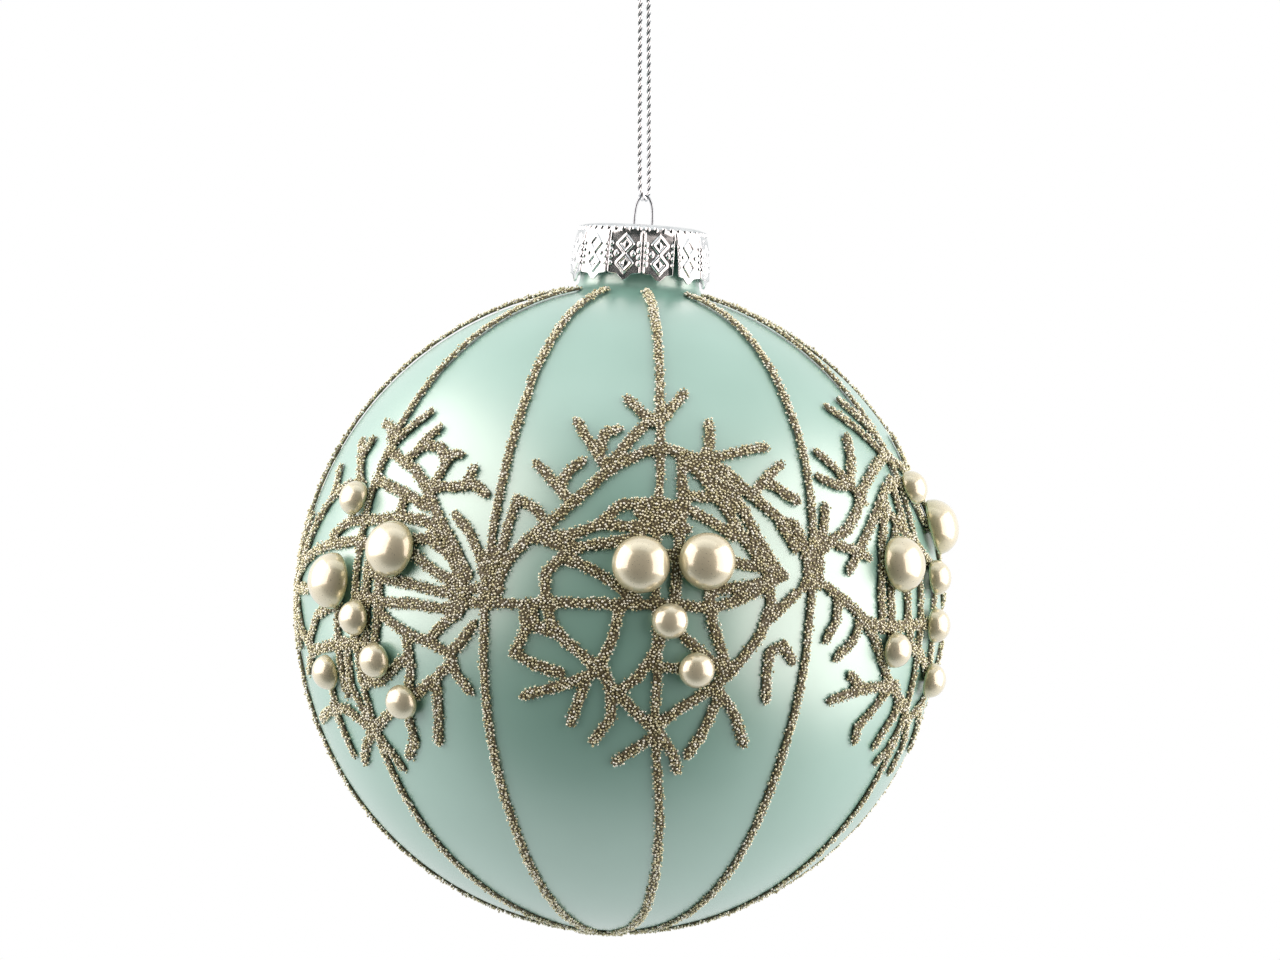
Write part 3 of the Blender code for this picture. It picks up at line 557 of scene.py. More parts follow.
def lathe(outline: Sequence[tuple[float, float]], segments: int) -> tuple[np.ndarray, list[np.ndarray]]:
    """Turns an outline about the vertical axis. Its ends lie on the axis.

    Args:
        outline: radius and height of each point, the first and last at radius 0.
        segments: points round the axis.

    Returns:
        Points, and the triangle and quad arrays.
    """
    rows = np.asarray(outline[1:-1], float)
    turn = 2 * math.pi * np.arange(segments) / segments
    x, y = rows[:, :1] * np.sin(turn), -rows[:, :1] * np.cos(turn)
    points = np.stack([x, y, np.repeat(rows[:, 1:], segments, axis=1)], axis=2).reshape(-1, 3)
    points = np.vstack([points, [(0, 0, outline[0][1]), (0, 0, outline[-1][1])]])
    start, end = len(points) - 2, len(points) - 1
    row = np.arange(len(rows) - 1)[:, None] * segments
    around, following = np.arange(segments), (np.arange(segments) + 1) % segments
    a, b = row + around, row + following
    quads = np.stack([a, b, b + segments, a + segments], axis=2).reshape(-1, 4)
    last = (len(rows) - 1) * segments
    bottom = np.stack([np.full(segments, start), following, around], axis=1)
    top = np.stack([np.full(segments, end), last + around, last + following], axis=1)
    return points, [quads, np.vstack([bottom, top])]


# ---------------------------------------------------------------- where things are


@dataclass(frozen=True)
class BallPlace:
    """Where the glass ball's centre is and how big the ball is, in metres."""

    centre: np.ndarray
    radius: float

    @classmethod
    def from_frame(cls) -> BallPlace:
        """Reads both from the frame's glass ball.

        Returns:
            The place.
        """
        low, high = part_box("glass_ball")
        radius = (high.x - low.x) / 2
        return cls(np.array([(low.x + high.x) / 2, (low.y + high.y) / 2, low.z + radius]), radius)

    def outward(self, points: np.ndarray) -> tuple[np.ndarray, np.ndarray]:
        """Directions from the centre, and distances.

        Args:
            points: positions in the row frame.

        Returns:
            Unit directions, and the distance of each point from the centre.
        """
        away = points - self.centre
        distance = np.linalg.norm(away, axis=1)
        return away / distance[:, None], distance


# ---------------------------------------------------------------- cord


@dataclass
class TubeBundle:
    """Several tubes gathered into one mesh."""

    points: list[np.ndarray] = field(default_factory=list)
    faces: list[np.ndarray] = field(default_factory=list)
    count: int = 0

    def add(self, line: np.ndarray, radius: float | np.ndarray, sides: int) -> None:
        """Adds one tube.

        Args:
            line: its centre line.
            radius: its radius, or one for each point.
            sides: corners of its section.
        """
        more, quads, fans = tube(line, radius, sides)
        self.points.append(more)
        self.faces += [part + self.count for part in (quads, *fans)]
        self.count += len(more)


@dataclass
class HangingCord:
    """Two-ply silver cord: knot, eye, left strand, bight under the wire, right strand, eye, knot.

    Heights and places are millimetres, the heights above the ball's centre. The hanging line
    leans, and passes through the origin at hang_height. Knot turns are the height of their
    middle above the knot's and their tilt. Tail points are the rise above the knot, the
    distance aside and the distance forward.
    """

    hang_height: float = 107.0
    lean: float = math.tan(math.radians(3.5))
    diameter: float = 0.9 * MM
    ply_radius: float = 0.25 * MM
    ply_offset: float = 0.235 * MM
    ply_sides: int = 12
    pitch: float = 2.56 * MM
    step: float = 0.16 * MM
    path_stride: int = 4
    # painted shade between the plies: how deep it starts and how quickly it fades out
    dark_below: float = 0.45
    dark_fade: float = 0.5
    bight_middle: float = 65.2
    bight_radius: float = 1.75
    bight_aside: tuple[float, float] = (0.39, 0.92)
    bight_steps: int = 8
    strand: tuple[tuple[float, float, float], ...] = (
        (94.6, 0.67, 0.28),
        (86.0, 0.68, 0.45),
        (76.0, 0.70, 0.9),
        (69.0, 0.71, 1.45),
    )
    eye: tuple[tuple[float, float, float], ...] = (
        (109.0, 0.35, 0.0),
        (107.6, 0.85, 0.0),
        (106.0, 1.8, 0.0),
        (104.2, 2.55, 0.0),
        (102.0, 2.75, 0.0),
        (99.2, 2.1, 0.1),
        (96.8, 0.98, 0.2),
    )
    twist_from: float = 95.0
    twist_to: float = 67.0
    knot_height: float = 109.9
    knot_turns: tuple[tuple[float, float], ...] = ((-0.75, 0.25), (0.0, -0.2), (0.75, 0.22))
    knot_radius: float = 1.32
    knot_taper: float = 0.12
    knot_flatness: float = 0.9
    knot_yarn: float = 0.42 * MM
    knot_steps: int = 24
    knot_step: float = 0.25 * MM
    # the painted ply shade's one even value on the knot
    knot_ply_shade: float = 0.8
    core_heights: tuple[float, ...] = (-1.5, -0.8, 0, 0.8, 1.5)
    core_radii: tuple[float, float, float] = (0.9 * MM, 1.15 * MM, 0.9 * MM)
    core_step: float = 0.5 * MM
    tail: tuple[tuple[float, float, float], ...] = (
        (0.7, 0.5, 0.0),
        (1.9, 0.75, 0.05),
        (2.9, 1.0, 0.1),
        (4.2, 1.4, 0.15),
        (5.3, 1.75, 0.2),
    )

    def place(self, height: float, aside: float, forward: float) -> tuple[float, float, float]:
        """World point beside the leaning line, from millimetres."""
        drop = self.hang_height - height
        return ((drop * self.lean + aside) * MM, forward * MM, -drop * MM)

    def route(self) -> np.ndarray:
        """The cord's centre line from the knot, round the bight and back.

        Returns:
            Its points in metres.
        """
        half = [*self.eye, *self.strand]
        points = [self.place(h, -x, -y) for h, x, y in half]
        length = math.hypot(*self.bight_aside)
        dx, dy = (c / length for c in self.bight_aside)
        for k in range(self.bight_steps + 1):
            turn = math.pi * k / self.bight_steps
            reach = -math.cos(turn) * self.bight_radius
            height = self.bight_middle - math.sin(turn) * self.bight_radius
            points.append(self.place(height, reach * dx, reach * dy))
        points += [self.place(h, x, y) for h, x, y in reversed(half)]
        return smooth_line(points, self.step)

    def ply(self, line: np.ndarray, run: np.ndarray, start: float) -> np.ndarray:
        """Winds one ply round the cord's centre line.

        Args:
            line: the cord's centre line.
            run: its length up to each point, in metres.
            start: the ply's angle at the first point, in radians.

        Returns:
            The ply's centre line.
        """
        one, two = frames_along(line)
        turn = (2 * math.pi * run / self.pitch + start)[:, None]
        return line + (one * np.cos(turn) + two * np.sin(turn)) * self.ply_offset

    def build(self) -> None:
        line = self.route()
        run = np.concatenate([[0], np.cumsum(np.linalg.norm(np.diff(line, axis=0), axis=1))])
        plies, depth = TubeBundle(), []
        near = np.vstack([np.repeat(line, self.ply_sides, axis=0), line[:1], line[-1:]])
        for start in (0.0, math.pi):
            plies.add(self.ply(line, run, start), self.ply_radius, self.ply_sides)
            out = np.linalg.norm(plies.points[-1] - near, axis=1)
            depth.append(out / (self.ply_radius + self.ply_offset))
        cord = make_mesh("silver_twist_cord", np.vstack(plies.points), plies.faces, [MetallicYarn()])
        # painted shade between the plies: 0 deep in the groove, 1 on the ply's outer side
        shade = (np.concatenate(depth) - self.dark_below) / self.dark_fade
        paint(cord, "depth", np.clip(shade, 0, 1))
        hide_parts("cord_strands", "cord_eye")
        knot = self.build_knot()
        hang_x = self.place(self.twist_from, 0, 0)[0]
        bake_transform(cord)
        LOG.info("%s: %.1f mm long, %d faces", cord.name, run[-1] / MM, len(cord.data.polygons))

    def build_knot(self) -> bpy.types.Object:
        """An overhand knot of two cords: round turns over a core, and two short cut tails.

        Returns:
            The knot.
        """
        tied, middle = TubeBundle(), self.knot_height
        for shift, tilt in self.knot_turns:
            loop, wide = [], self.knot_radius - self.knot_taper * abs(shift)
            for k in range(self.knot_steps + 1):
                a = 2 * math.pi * k / self.knot_steps
                height = middle + shift + tilt * math.cos(a)
                loop.append(self.place(height, wide * math.cos(a), wide * self.knot_flatness * math.sin(a)))
            tied.add(smooth_line(loop, self.knot_step), self.knot_yarn, self.ply_sides)
        core = smooth_line([self.place(middle + rise, 0, 0) for rise in self.core_heights], self.core_step)
        size = np.interp(np.linspace(0, 1, len(core)), [0, 0.5, 1], self.core_radii)
        tied.add(core, size, self.ply_sides)
        for side in (-1, 1):
            tail = [self.place(middle + rise, side * aside, forward) for rise, aside, forward in self.tail]
            line = smooth_line(tail, self.step)
            run = np.arange(len(line)) * self.step
            for start in (0.0, math.pi):
                tied.add(self.ply(line, run, start), self.ply_radius, self.ply_sides)
        knot = make_mesh("silver_cord_knot", np.vstack(tied.points), tied.faces, [MetallicYarn()])
        # one even, light value of the painted ply shade all over the knot
        paint(knot, "depth", np.full(len(knot.data.vertices), self.knot_ply_shade))
        mount_piece(knot, Body.EYE, Slot.THREAD, "cord_knot")
        return knot


# ---------------------------------------------------------------- wire hanger


@dataclass
class WireHanger:
    """Bent spring wire: a peaked arch above the cap and two sprung legs inside the neck.

    Half of it is given, in millimetres aside of and above the ball's centre.
    """

    place: BallPlace
    radius: float = 0.21 * MM
    step: float = 0.12 * MM
    sides: int = 16
    end_offset: float = 0.6
    end_steps: float = 2.5
    half: tuple[tuple[float, float], ...] = (
        (0.0, 64.25),
        (0.55, 64.02),
        (0.98, 63.4),
        (1.25, 62.4),
        (1.38, 61.0),
        (1.4, 59.6),
        (1.4, 57.6),
        (2.4, 55.6),
        (5.6, 51.6),
        (7.0, 49.2),
        (7.25, 46.0),
        (7.2, 39.5),
    )

    def build(self) -> None:
        """Sweeps the wire from one leg's foot over the arch to the other, with rounded ends."""
        left = [(-x, 0.0, z) for x, z in reversed(self.half)]
        right = [(x, 0.0, z) for x, z in self.half[1:]]
        line = smooth_line(np.array(left + right) * MM, self.step) + self.place.centre
        ends = np.minimum(np.arange(len(line)), np.arange(len(line))[::-1])
        size = self.radius * np.sqrt(np.clip((ends + self.end_offset) / self.end_steps, 0, 1))
        points, quads, fans = tube(line, size, self.sides)
        wire = make_mesh("spring_wire_hanger", points, [quads, *fans], [DrawnSteelWire()])
        mount_piece(wire, Body.WIRE, Slot.WIRE, "wire_hanger")


# ---------------------------------------------------------------- crown cap


@dataclass
class CrownCap:
    """Stamped crown cap: twelve embossed panels with pointed feet, one open seam, two wire holes.

    Sizes are millimetres, and heights are above the ball's centre. A dot is its distance aside,
    its height and its radius.
    """

    place: BallPlace
    panels: int = 12
    columns: int = 56
    rows: int = 68
    turn_deg: float = 1.0
    skirt: tuple[tuple[float, float], ...] = (
        (7.2, 59.3),
        (8.0, 59.32),
        (8.8, 59.28),
        (9.35, 59.08),
        (9.72, 58.65),
        (9.95, 58.05),
        (10.1, 57.3),
        (10.3, 56.0),
        (10.45, 54.6),
        (10.56, 53.0),
        (10.64, 51.6),
        (10.68, 50.5),
    )
    profile_step: float = 0.02
    row_bias: float = 0.96
    panel_radius: float = 10.4
    crease_foot: float = 51.9
    tip_foot: float = 50.5
    seam_deg: float = 31.0
    seam_top: float = 57.0
    seam_narrow: float = 0.08
    seam_spread: float = 0.48
    seam_bias: float = 0.8
    seam_columns: int = 12
    thickness: float = 0.28
    weld: float = 0.004
    diamond: tuple[float, float] = (1.32, 1.47)
    diamond_heights: tuple[float, float] = (56.1, 53.15)
    frame_share: float = 0.86
    frame_half: float = 0.27
    stamp: float = 0.3
    boss_stamp: float = 0.16
    boss_share: float = 0.42
    middle_dot: tuple[float, float, float] = (1.32, 54.62, 0.36)
    edge_dot_heights: tuple[float, ...] = (56.1, 55.1, 54.1, 53.1)
    edge_dot_inset: float = 0.52
    edge_dot_radius: float = 0.31
    shoulder_dots: int = 4
    shoulder_dot_height: float = 58.62
    shoulder_dot_radius: float = 0.36
    panel_top: float = 58.4
    panel_fade: float = 0.8
    crease_depth: float = 0.34
    crease_width: float = 0.12
    lip_height: float = 0.07
    lip_inset: float = 0.24
    lip_width: float = 0.1
    flat_depth: float = 0.34
    flat_offset: float = 0.6
    hole_aside: float = 1.4
    hole_radius: float = 0.55
    hole_corners: int = 28
    hole_margin: float = 0.99
    plate_rings: tuple[tuple[float, int], ...] = (
        (6.4, 160),
        (5.6, 150),
        (5.2, 140),
        (4.8, 130),
        (4.4, 120),
        (3.6, 90),
        (2.9, 70),
    )
    groove_radius: float = 5.0
    groove_width: float = 0.35
    groove_depth: float = 0.22

    def foot(self, across: np.ndarray) -> np.ndarray:
        """Height of the pointed lower edge.

        Args:
            across: distance from the panel's middle as a share of half its width.

        Returns:
            The edge's height in millimetres.
        """
        stops = [0.0, 0.10, 0.42, 0.5, 0.62, 0.86, 1.0]
        heights = [
            self.tip_foot,
            self.tip_foot + 0.1,
            self.tip_foot + 0.95,
            self.tip_foot + 0.98,
            self.crease_foot - 0.38,
            self.crease_foot - 0.3,
            self.crease_foot,
        ]
        return np.interp(np.abs(across), stops, heights)

    def dots(self, half: float) -> list[tuple[float, float, float]]:
        """The stamped dots of one panel.

        Args:
            half: half the panel's width.

        Returns:
            Distance aside, height and radius of each dot.
        """
        aside, height, radius = self.middle_dot
        dots = [(side * aside, height, radius) for side in (-1, 1)]
        for side in (-1, 1):
            x = side * (half - self.edge_dot_inset)
            dots += [(x, z, self.edge_dot_radius) for z in self.edge_dot_heights]
        for k in range(self.shoulder_dots):
            x = (k - (self.shoulder_dots - 1) / 2) * half / 2
            dots.append((x, self.shoulder_dot_height, self.shoulder_dot_radius))
        return dots

    def relief(self, side: np.ndarray, height: np.ndarray) -> np.ndarray:
        """How far the stamping stands out: diamonds, dots, creases and the flats between them.

        Args:
            side: distance from the panel's middle, in millimetres.
            height: height above the ball's centre, in millimetres.

        Returns:
            The rise in millimetres.
        """
        half = math.pi * self.panel_radius / self.panels
        wide, tall = self.diamond

        def bump(distance: np.ndarray, size: float) -> np.ndarray:
            """A rounded rise, 1 at distance 0 and 0 from size on."""
            return np.sqrt(np.clip(1 - (distance / size) ** 2, 0, 1))

        def swell(distance: np.ndarray, width: float) -> np.ndarray:
            """A soft rise, 1 at distance 0 and almost 0 from twice the width on."""
            return np.exp(-((distance / width) ** 2))

        rise = np.zeros_like(side)
        for middle in self.diamond_heights:
            reach = np.abs(side) / wide + np.abs(height - middle) / tall
            frame_line = np.abs(reach - self.frame_share) * wide * tall / math.hypot(wide, tall)
            rise = np.maximum(rise, self.stamp * bump(frame_line, self.frame_half))
            rise = np.maximum(rise, self.boss_stamp * bump(reach, self.boss_share))
        for x, z, size in self.dots(half):
            rise = np.maximum(rise, self.stamp * bump(np.hypot(side - x, height - z), size))
        edge = half - np.abs(side)
        below = np.clip((self.panel_top - height) / self.panel_fade, 0, 1)
        crease = -self.crease_depth * swell(edge, self.crease_width)
        crease = crease + self.lip_height * swell(edge - self.lip_inset, self.lip_width)
        flat = self.flat_depth * ((side / half) ** 2 - self.flat_offset)
        return rise + (crease + flat) * below

    def skirt_grid(self) -> tuple[np.ndarray, np.ndarray]:
        """The embossed skirt as a grid that starts and ends at the seam.

        Returns:
            Points in metres about the ball's centre, rows by columns, and the quads.
        """
        line = smooth_line(self.skirt, self.profile_step)
        run = np.concatenate([[0], np.cumsum(np.linalg.norm(np.diff(line, axis=0), axis=1))])
        count = self.panels * self.columns
        turn = np.radians(self.seam_deg) + 2 * math.pi * np.arange(count + 1) / count
        pitch = 2 * math.pi / self.panels
        first_middle = math.radians(self.turn_deg) + pitch / 2
        local = (turn - first_middle + pitch / 2) % pitch - pitch / 2
        foot = self.foot(local / (pitch / 2))
        run_at_foot = np.interp(-foot, -line[::-1, 1][::-1], run)
        share = np.linspace(0, 1, self.rows) ** self.row_bias
        along = share[:, None] * run_at_foot[None, :]
        radius = np.interp(along, run, line[:, 0])
        height = np.interp(along, run, line[:, 1])
        slope_r, slope_z = np.gradient(line[:, 0]), np.gradient(line[:, 1])
        norm = np.hypot(slope_r, slope_z)
        out_r = np.interp(along, run, -slope_z / norm)
        out_z = np.interp(along, run, slope_r / norm)
        rise = self.relief(local[None, :] * self.panel_radius + 0 * radius, height)
        radius, height = radius + rise * out_r, height + rise * out_z
        gap = np.clip((self.seam_top - height) / (self.seam_top - self.tip_foot), 0, 1)
        half = self.seam_narrow + self.seam_spread * gap**self.seam_bias
        open_half = np.where(height < self.seam_top, half, 0.0)
        fade = np.zeros(count + 1)
        reach = self.seam_columns
        fade[: reach + 1] = 1 - np.arange(reach + 1) / reach
        fade[-reach - 1 :] = -(1 - np.arange(reach + 1)[::-1] / reach)
        angle = turn[None, :] + open_half / self.panel_radius * fade[None, :]
        grid = np.stack([radius * np.sin(angle), -radius * np.cos(angle), height], axis=2)
        wide = count + 1
        a = np.arange(self.rows - 1)[:, None] * wide + np.arange(count)
        quads = np.stack([a + wide, a + wide + 1, a + 1, a], axis=2).reshape(-1, 4)
        return grid.reshape(-1, 3) * MM, quads

    def plate(self, rim: np.ndarray) -> tuple[np.ndarray, list[list[int]]]:
        """The flat top inside the rim, with its two wire holes and a stamped ring.

        Args:
            rim: the skirt's uppermost ring of points, in order.

        Returns:
            Its points and its triangles.
        """
        places = [Vector((p[0], p[1])) for p in rim[:-1]]
        loops = [list(range(len(places)))]
        hole = self.hole_radius
        for aside in (-self.hole_aside, self.hole_aside):
            start = len(places)
            for k in range(self.hole_corners):
                a = -2 * math.pi * k / self.hole_corners
                places.append(Vector(((aside + hole * math.cos(a)) * MM, hole * math.sin(a) * MM)))
            loops.append(list(range(start, len(places))))
        for ring, count in self.plate_rings:
            for k in range(count):
                a = 2 * math.pi * (k + 0.5) / count
                places.append(Vector((ring * MM * math.cos(a), ring * MM * math.sin(a))))
        spots, _, faces, _, _, _ = delaunay_2d_cdt(places, [], loops, 0, 1e-9)
        holes = [Vector((-self.hole_aside * MM, 0)), Vector((self.hole_aside * MM, 0))]
        kept = []
        for face in faces:
            middle = sum((spots[i] for i in face), Vector((0, 0))) / len(face)
            if all((middle - centre).length > hole * MM * self.hole_margin for centre in holes):
                kept.append(list(face))
        flat = np.array([(p.x, p.y) for p in spots])
        reach = np.hypot(flat[:, 0], flat[:, 1]) / MM
        groove = np.exp(-(((reach - self.groove_radius) / self.groove_width) ** 2))
        height = rim[:, 2].mean() / MM - self.groove_depth * groove
        return np.column_stack([flat, height * MM]), kept

    def build(self) -> None:
        """Joins skirt and top into one sheet, thickens it, and puts it on the cap."""
        grid, quads = self.skirt_grid()
        top, triangles = self.plate(grid[: self.panels * self.columns + 1])
        corners = [np.array([t]) + len(grid) for t in triangles]
        points = np.vstack([grid, top]) + self.place.centre
        cap = make_mesh("stamped_crown_cap", points, [quads, *corners], [StampedSilver()])
        self.face_outwards(cap.data)
        sheet = cap.modifiers.new("sheet", "SOLIDIFY")
        sheet.thickness = self.thickness * MM
        sheet.offset = -1.0
        sheet.use_rim = True
        apply_modifiers(cap)
        cap.data.polygons.foreach_set("use_smooth", np.full(len(cap.data.polygons), True))
        mount_piece(cap, Body.CAP, Slot.PLATE, "cap_shell")

    def face_outwards(self, sheet: bpy.types.Mesh) -> None:
        """Joins the sheet's doubled points and turns its outer side outwards.

        Args:
            sheet: the cap's mesh, one layer thick.
        """
        centre = Vector(self.place.centre)
        work = bmesh.new()
        work.from_mesh(sheet)
        bmesh.ops.remove_doubles(work, verts=work.verts, dist=self.weld * MM)
        bmesh.ops.recalc_face_normals(work, faces=work.faces)
        widest = max(work.faces, key=lambda f: (f.calc_center_median() - centre).xy.length)
        away = widest.calc_center_median() - centre
        if widest.normal.xy.dot(away.xy) < 0:
            bmesh.ops.reverse_faces(work, faces=work.faces)
        work.to_mesh(sheet)
        work.free()


def apply_modifiers(piece: bpy.types.Object) -> None:
    """Turns a piece's modifiers into its mesh.

    Args:
        piece: the piece.
    """
    graph = bpy.context.evaluated_depsgraph_get()
    shaped = bpy.data.meshes.new_from_object(piece.evaluated_get(graph))
    old = piece.data
    piece.modifiers.clear()
    piece.data = shaped
    shaped.name = piece.name
    bpy.data.meshes.remove(old)


# ---------------------------------------------------------------- glass ball


@dataclass
class GlassBall:
    """Blown ball with a rolled neck, hollow, its wall 1 mm thick. The neck is in millimetres."""

    place: BallPlace
    segments: int = 224
    outside_steps: int = 150
    inside_steps: int = 60
    wall: float = 1.0
    neck_outside: tuple[tuple[float, float], ...] = (
        (10.9, 48.75),
        (10.2, 49.18),
        (9.7, 49.6),
        (9.35, 50.2),
        (9.2, 51.0),
        (9.2, 57.9),
        (9.05, 58.15),
        (8.7, 58.2),
    )
    neck_inside: tuple[tuple[float, float], ...] = (
        (8.35, 58.15),
        (8.2, 57.9),
        (8.2, 50.4),
        (8.45, 49.2),
        (9.2, 48.1),
    )

    def outline(self) -> list[tuple[float, float]]:
        """Draws the wall's section, outside then inside.

        Returns:
            Radius and height of each point, in metres.
        """
        outer, inner = self.place.radius / MM, self.place.radius / MM - self.wall
        points = [(0.0, -outer)]
        top = math.atan2(*reversed(self.neck_outside[0]))
        for a in np.linspace(-math.pi / 2, top, self.outside_steps)[1:-1]:
            points.append((outer * math.cos(a), outer * math.sin(a)))
        points += [*self.neck_outside, *self.neck_inside]
        low = math.atan2(*reversed(self.neck_inside[-1]))
        for a in np.linspace(low, -math.pi / 2, self.inside_steps)[1:-1]:
            points.append((inner * math.cos(a), inner * math.sin(a)))
        points.append((0.0, -inner))
        return [(r * MM, z * MM) for r, z in points]

    def build(self) -> None:
        """Turns the wall's section, and puts the ball on its body."""
        points, faces = lathe(self.outline(), self.segments)
        ball = make_mesh("satin_glass_ball", points + self.place.centre, faces, [SatinMintLacquer()])
        mount_piece(ball, Body.BALL, Slot.GLASS, "glass_ball")


# ---------------------------------------------------------------- bead trails


@dataclass
class BeadTrails:
    """Ridges of adhesive set with micro-beads, one piece for each trail of the frame.

    A trail's edge shrinks in, except within reach of another trail, where it bridges the gap.
    The solids stand solid_foot off the glass, and the ridges sink foot_depth into it. Of the
    beads, crowd are tried on each square millimetre, and those closer than the spacing to one
    before them are left out. A few stray beads stand higher.
    """

    place: BallPlace
    nodes: Sequence[str]
    voxel: float = 0.22 * MM
    shrink: float = 0.04 * MM
    reach: float = 0.45 * MM
    bridge: float = 0.2 * MM
    smoothing: int = 5
    solid_foot: float = 0.3 * MM
    foot_depth: float = 0.05 * MM
    flatness: float = 0.6
    steepest: float = -0.25
    lowest: float = 0.05 * MM
    bead_small: float = 0.155 * MM
    bead_large: float = 0.235 * MM
    small_bias: float = 1.5
    spacing: float = 0.325 * MM
    crowd: float = 24.0
    lift: float = 0.08 * MM
    lift_spread: float = 0.1 * MM
    stray: float = 0.22 * MM
    stray_rarity: int = 6
    least_height: float = 0.85
    uneven: float = 0.12
    chance: np.random.Generator = field(default_factory=lambda: np.random.default_rng(SEED))

    def solid(self, node: str) -> tuple[np.ndarray, list[tuple[int, ...]]]:
        """Reads one of the frame's trails.

        Args:
            node: the trail's name.

        Returns:
            Its points and its faces.
        """
        mesh = bpy.data.objects[node].data
        return np.array([v.co for v in mesh.vertices]), [tuple(p.vertices) for p in mesh.polygons]

    def others(self, node: str) -> BVHTree:
        """Gathers every other trail, for closing the gaps where trails meet.

        Args:
            node: the name of the trail that is left out.

        Returns:
            A search tree of the others' surfaces.
        """
        points, faces = [], []
        for name in self.nodes:
            if name != node:
                more, polygons = self.solid(name)
                faces += [tuple(i + len(points) for i in p) for p in polygons]
                points += more.tolist()
        return BVHTree.FromPolygons(points, faces)

    def ridge(self, node: str) -> tuple[np.ndarray, np.ndarray]:
        """Rounds the frame's trail into a low ridge of adhesive.

        Args:
            node: the trail's name.

        Returns:
            Points and quads of the closed ridge.
        """
        source = bpy.data.objects[node]
        work = bpy.data.objects.new("ridge_work", source.data.copy())
        bpy.context.scene.collection.objects.link(work)
        remesh = work.modifiers.new("even", "REMESH")
        remesh.mode, remesh.voxel_size = "VOXEL", self.voxel
        apply_modifiers(work)
        mesh = work.data
        points = read_rows(mesh.vertices, "co", 3, np.float32).astype(float)
        normals = read_rows(mesh.vertices, "normal", 3, np.float32).astype(float)
        edges = read_rows(mesh.edges, "vertices", 2, np.int32)
        quads = read_rows(mesh.loops, "vertex_index", 1, np.int32).reshape(-1, 4)
        bpy.data.objects.remove(work)
        bpy.data.meshes.remove(mesh)
        nearby = self.others(node)
        up, _ = self.place.outward(points)
        flat = normals - up * np.sum(normals * up, axis=1)[:, None]
        move = np.full(len(points), -self.shrink)
        for i, point in enumerate(points):
            if nearby.find_nearest(Vector(point), self.reach)[0] is not None:
                move[i] = self.bridge
        points = points + flat * move[:, None]
        points = self.relax(points, edges, self.smoothing)
        up, distance = self.place.outward(points)
        height = distance - self.place.radius - self.solid_foot
        distance = self.place.radius - self.foot_depth + height * self.flatness
        return self.place.centre + up * distance[:, None], quads

    @staticmethod
    def relax(points: np.ndarray, edges: np.ndarray, rounds: int) -> np.ndarray:
        """Evens out a mesh by moving each point towards its neighbours' middle.

        Args:
            points: the positions.
            edges: pairs of neighbours.
            rounds: how many times.

        Returns:
            The new positions.
        """
        ends = np.concatenate([edges[:, 0], edges[:, 1]])
        starts = np.concatenate([edges[:, 1], edges[:, 0]])
        share = np.bincount(ends, minlength=len(points)).clip(1)
        stay, pull = 0.45, 0.55
        for _ in range(rounds):
            totals = [np.bincount(ends, points[starts, k], minlength=len(points)) for k in range(3)]
            points = points * stay + np.column_stack([total / share for total in totals]) * pull
        return points

    def bead_places(self, points: np.ndarray, quads: np.ndarray) -> tuple[np.ndarray, np.ndarray]:
        """Scatters bead centres over a ridge, no two too close.

        Args:
            points: the ridge's points.
            quads: its quads.

        Returns:
            Centres and radii.
        """
        a, b, c, d = (points[quads[:, k]] for k in range(4))
        across = np.cross(c - a, d - b)
        area = np.linalg.norm(across, axis=1) / 2
        normal = across / np.maximum(area * 2, 1e-15)[:, None]
        up, distance = self.place.outward((a + b + c + d) / 4)
        shown = (np.sum(normal * up, axis=1) > self.steepest) & (distance > self.place.radius + self.lowest)
        weight = np.where(shown, area, 0)
        count = int(weight.sum() / MM**2 * self.crowd)
        chosen = self.chance.choice(len(quads), count, p=weight / weight.sum())
        u, v = self.chance.random((2, count, 1))
        near, far = a[chosen] * (1 - u) + b[chosen] * u, d[chosen] * (1 - u) + c[chosen] * u
        spots = near * (1 - v) + far * v
        kept = self.thin_out(spots)
        spots, normal = spots[kept], normal[chosen][kept]
        share = self.chance.random(len(spots)) ** self.small_bias
        radius = self.bead_small + (self.bead_large - self.bead_small) * share
        stray = self.chance.random((len(spots), 1)) ** self.stray_rarity * self.stray
        lift = self.lift + self.lift_spread * self.chance.random((len(spots), 1)) + stray
        centre = spots + normal * lift
        up, distance = self.place.outward(centre)
        low = self.place.radius + radius * self.least_height
        centre = np.where((distance < low)[:, None], self.place.centre + up * low[:, None], centre)
        return centre, radius

    def thin_out(self, spots: np.ndarray) -> list[int]:
        """Keeps the spots that are no closer than the spacing to one kept before them.

        Args:
            spots: positions, in their order of choice.

        Returns:
            The numbers of the kept spots.
        """
        cells = np.floor(spots / self.spacing).astype(int)
        grid: dict[tuple[int, int, int], list[int]] = {}
        kept = []
        limit = self.spacing**2
        rows = spots.tolist()
        around = [(i, j, k) for i in (-1, 0, 1) for j in (-1, 0, 1) for k in (-1, 0, 1)]
        for n, (cx, cy, cz) in enumerate(cells.tolist()):
            x, y, z = rows[n]
            for i, j, k in around:
                near = (rows[m] for m in grid.get((cx + i, cy + j, cz + k), ()))
                if any((x - a) ** 2 + (y - b) ** 2 + (z - c) ** 2 < limit for a, b, c in near):
                    break
            else:
                grid.setdefault((cx, cy, cz), []).append(n)
                kept.append(n)
        return kept

    @staticmethod
    def bead_shape() -> tuple[np.ndarray, np.ndarray]:
        """Makes one round bead of 12 points and 20 faces, of radius 1.

        Returns:
            Its points and its triangles.
        """
        work = bmesh.new()
        bmesh.ops.create_icosphere(work, subdivisions=1, radius=1.0)
        points = np.array([v.co for v in work.verts])
        faces = np.array([[v.index for v in f.verts] for f in work.faces])
        work.free()
        return points, faces

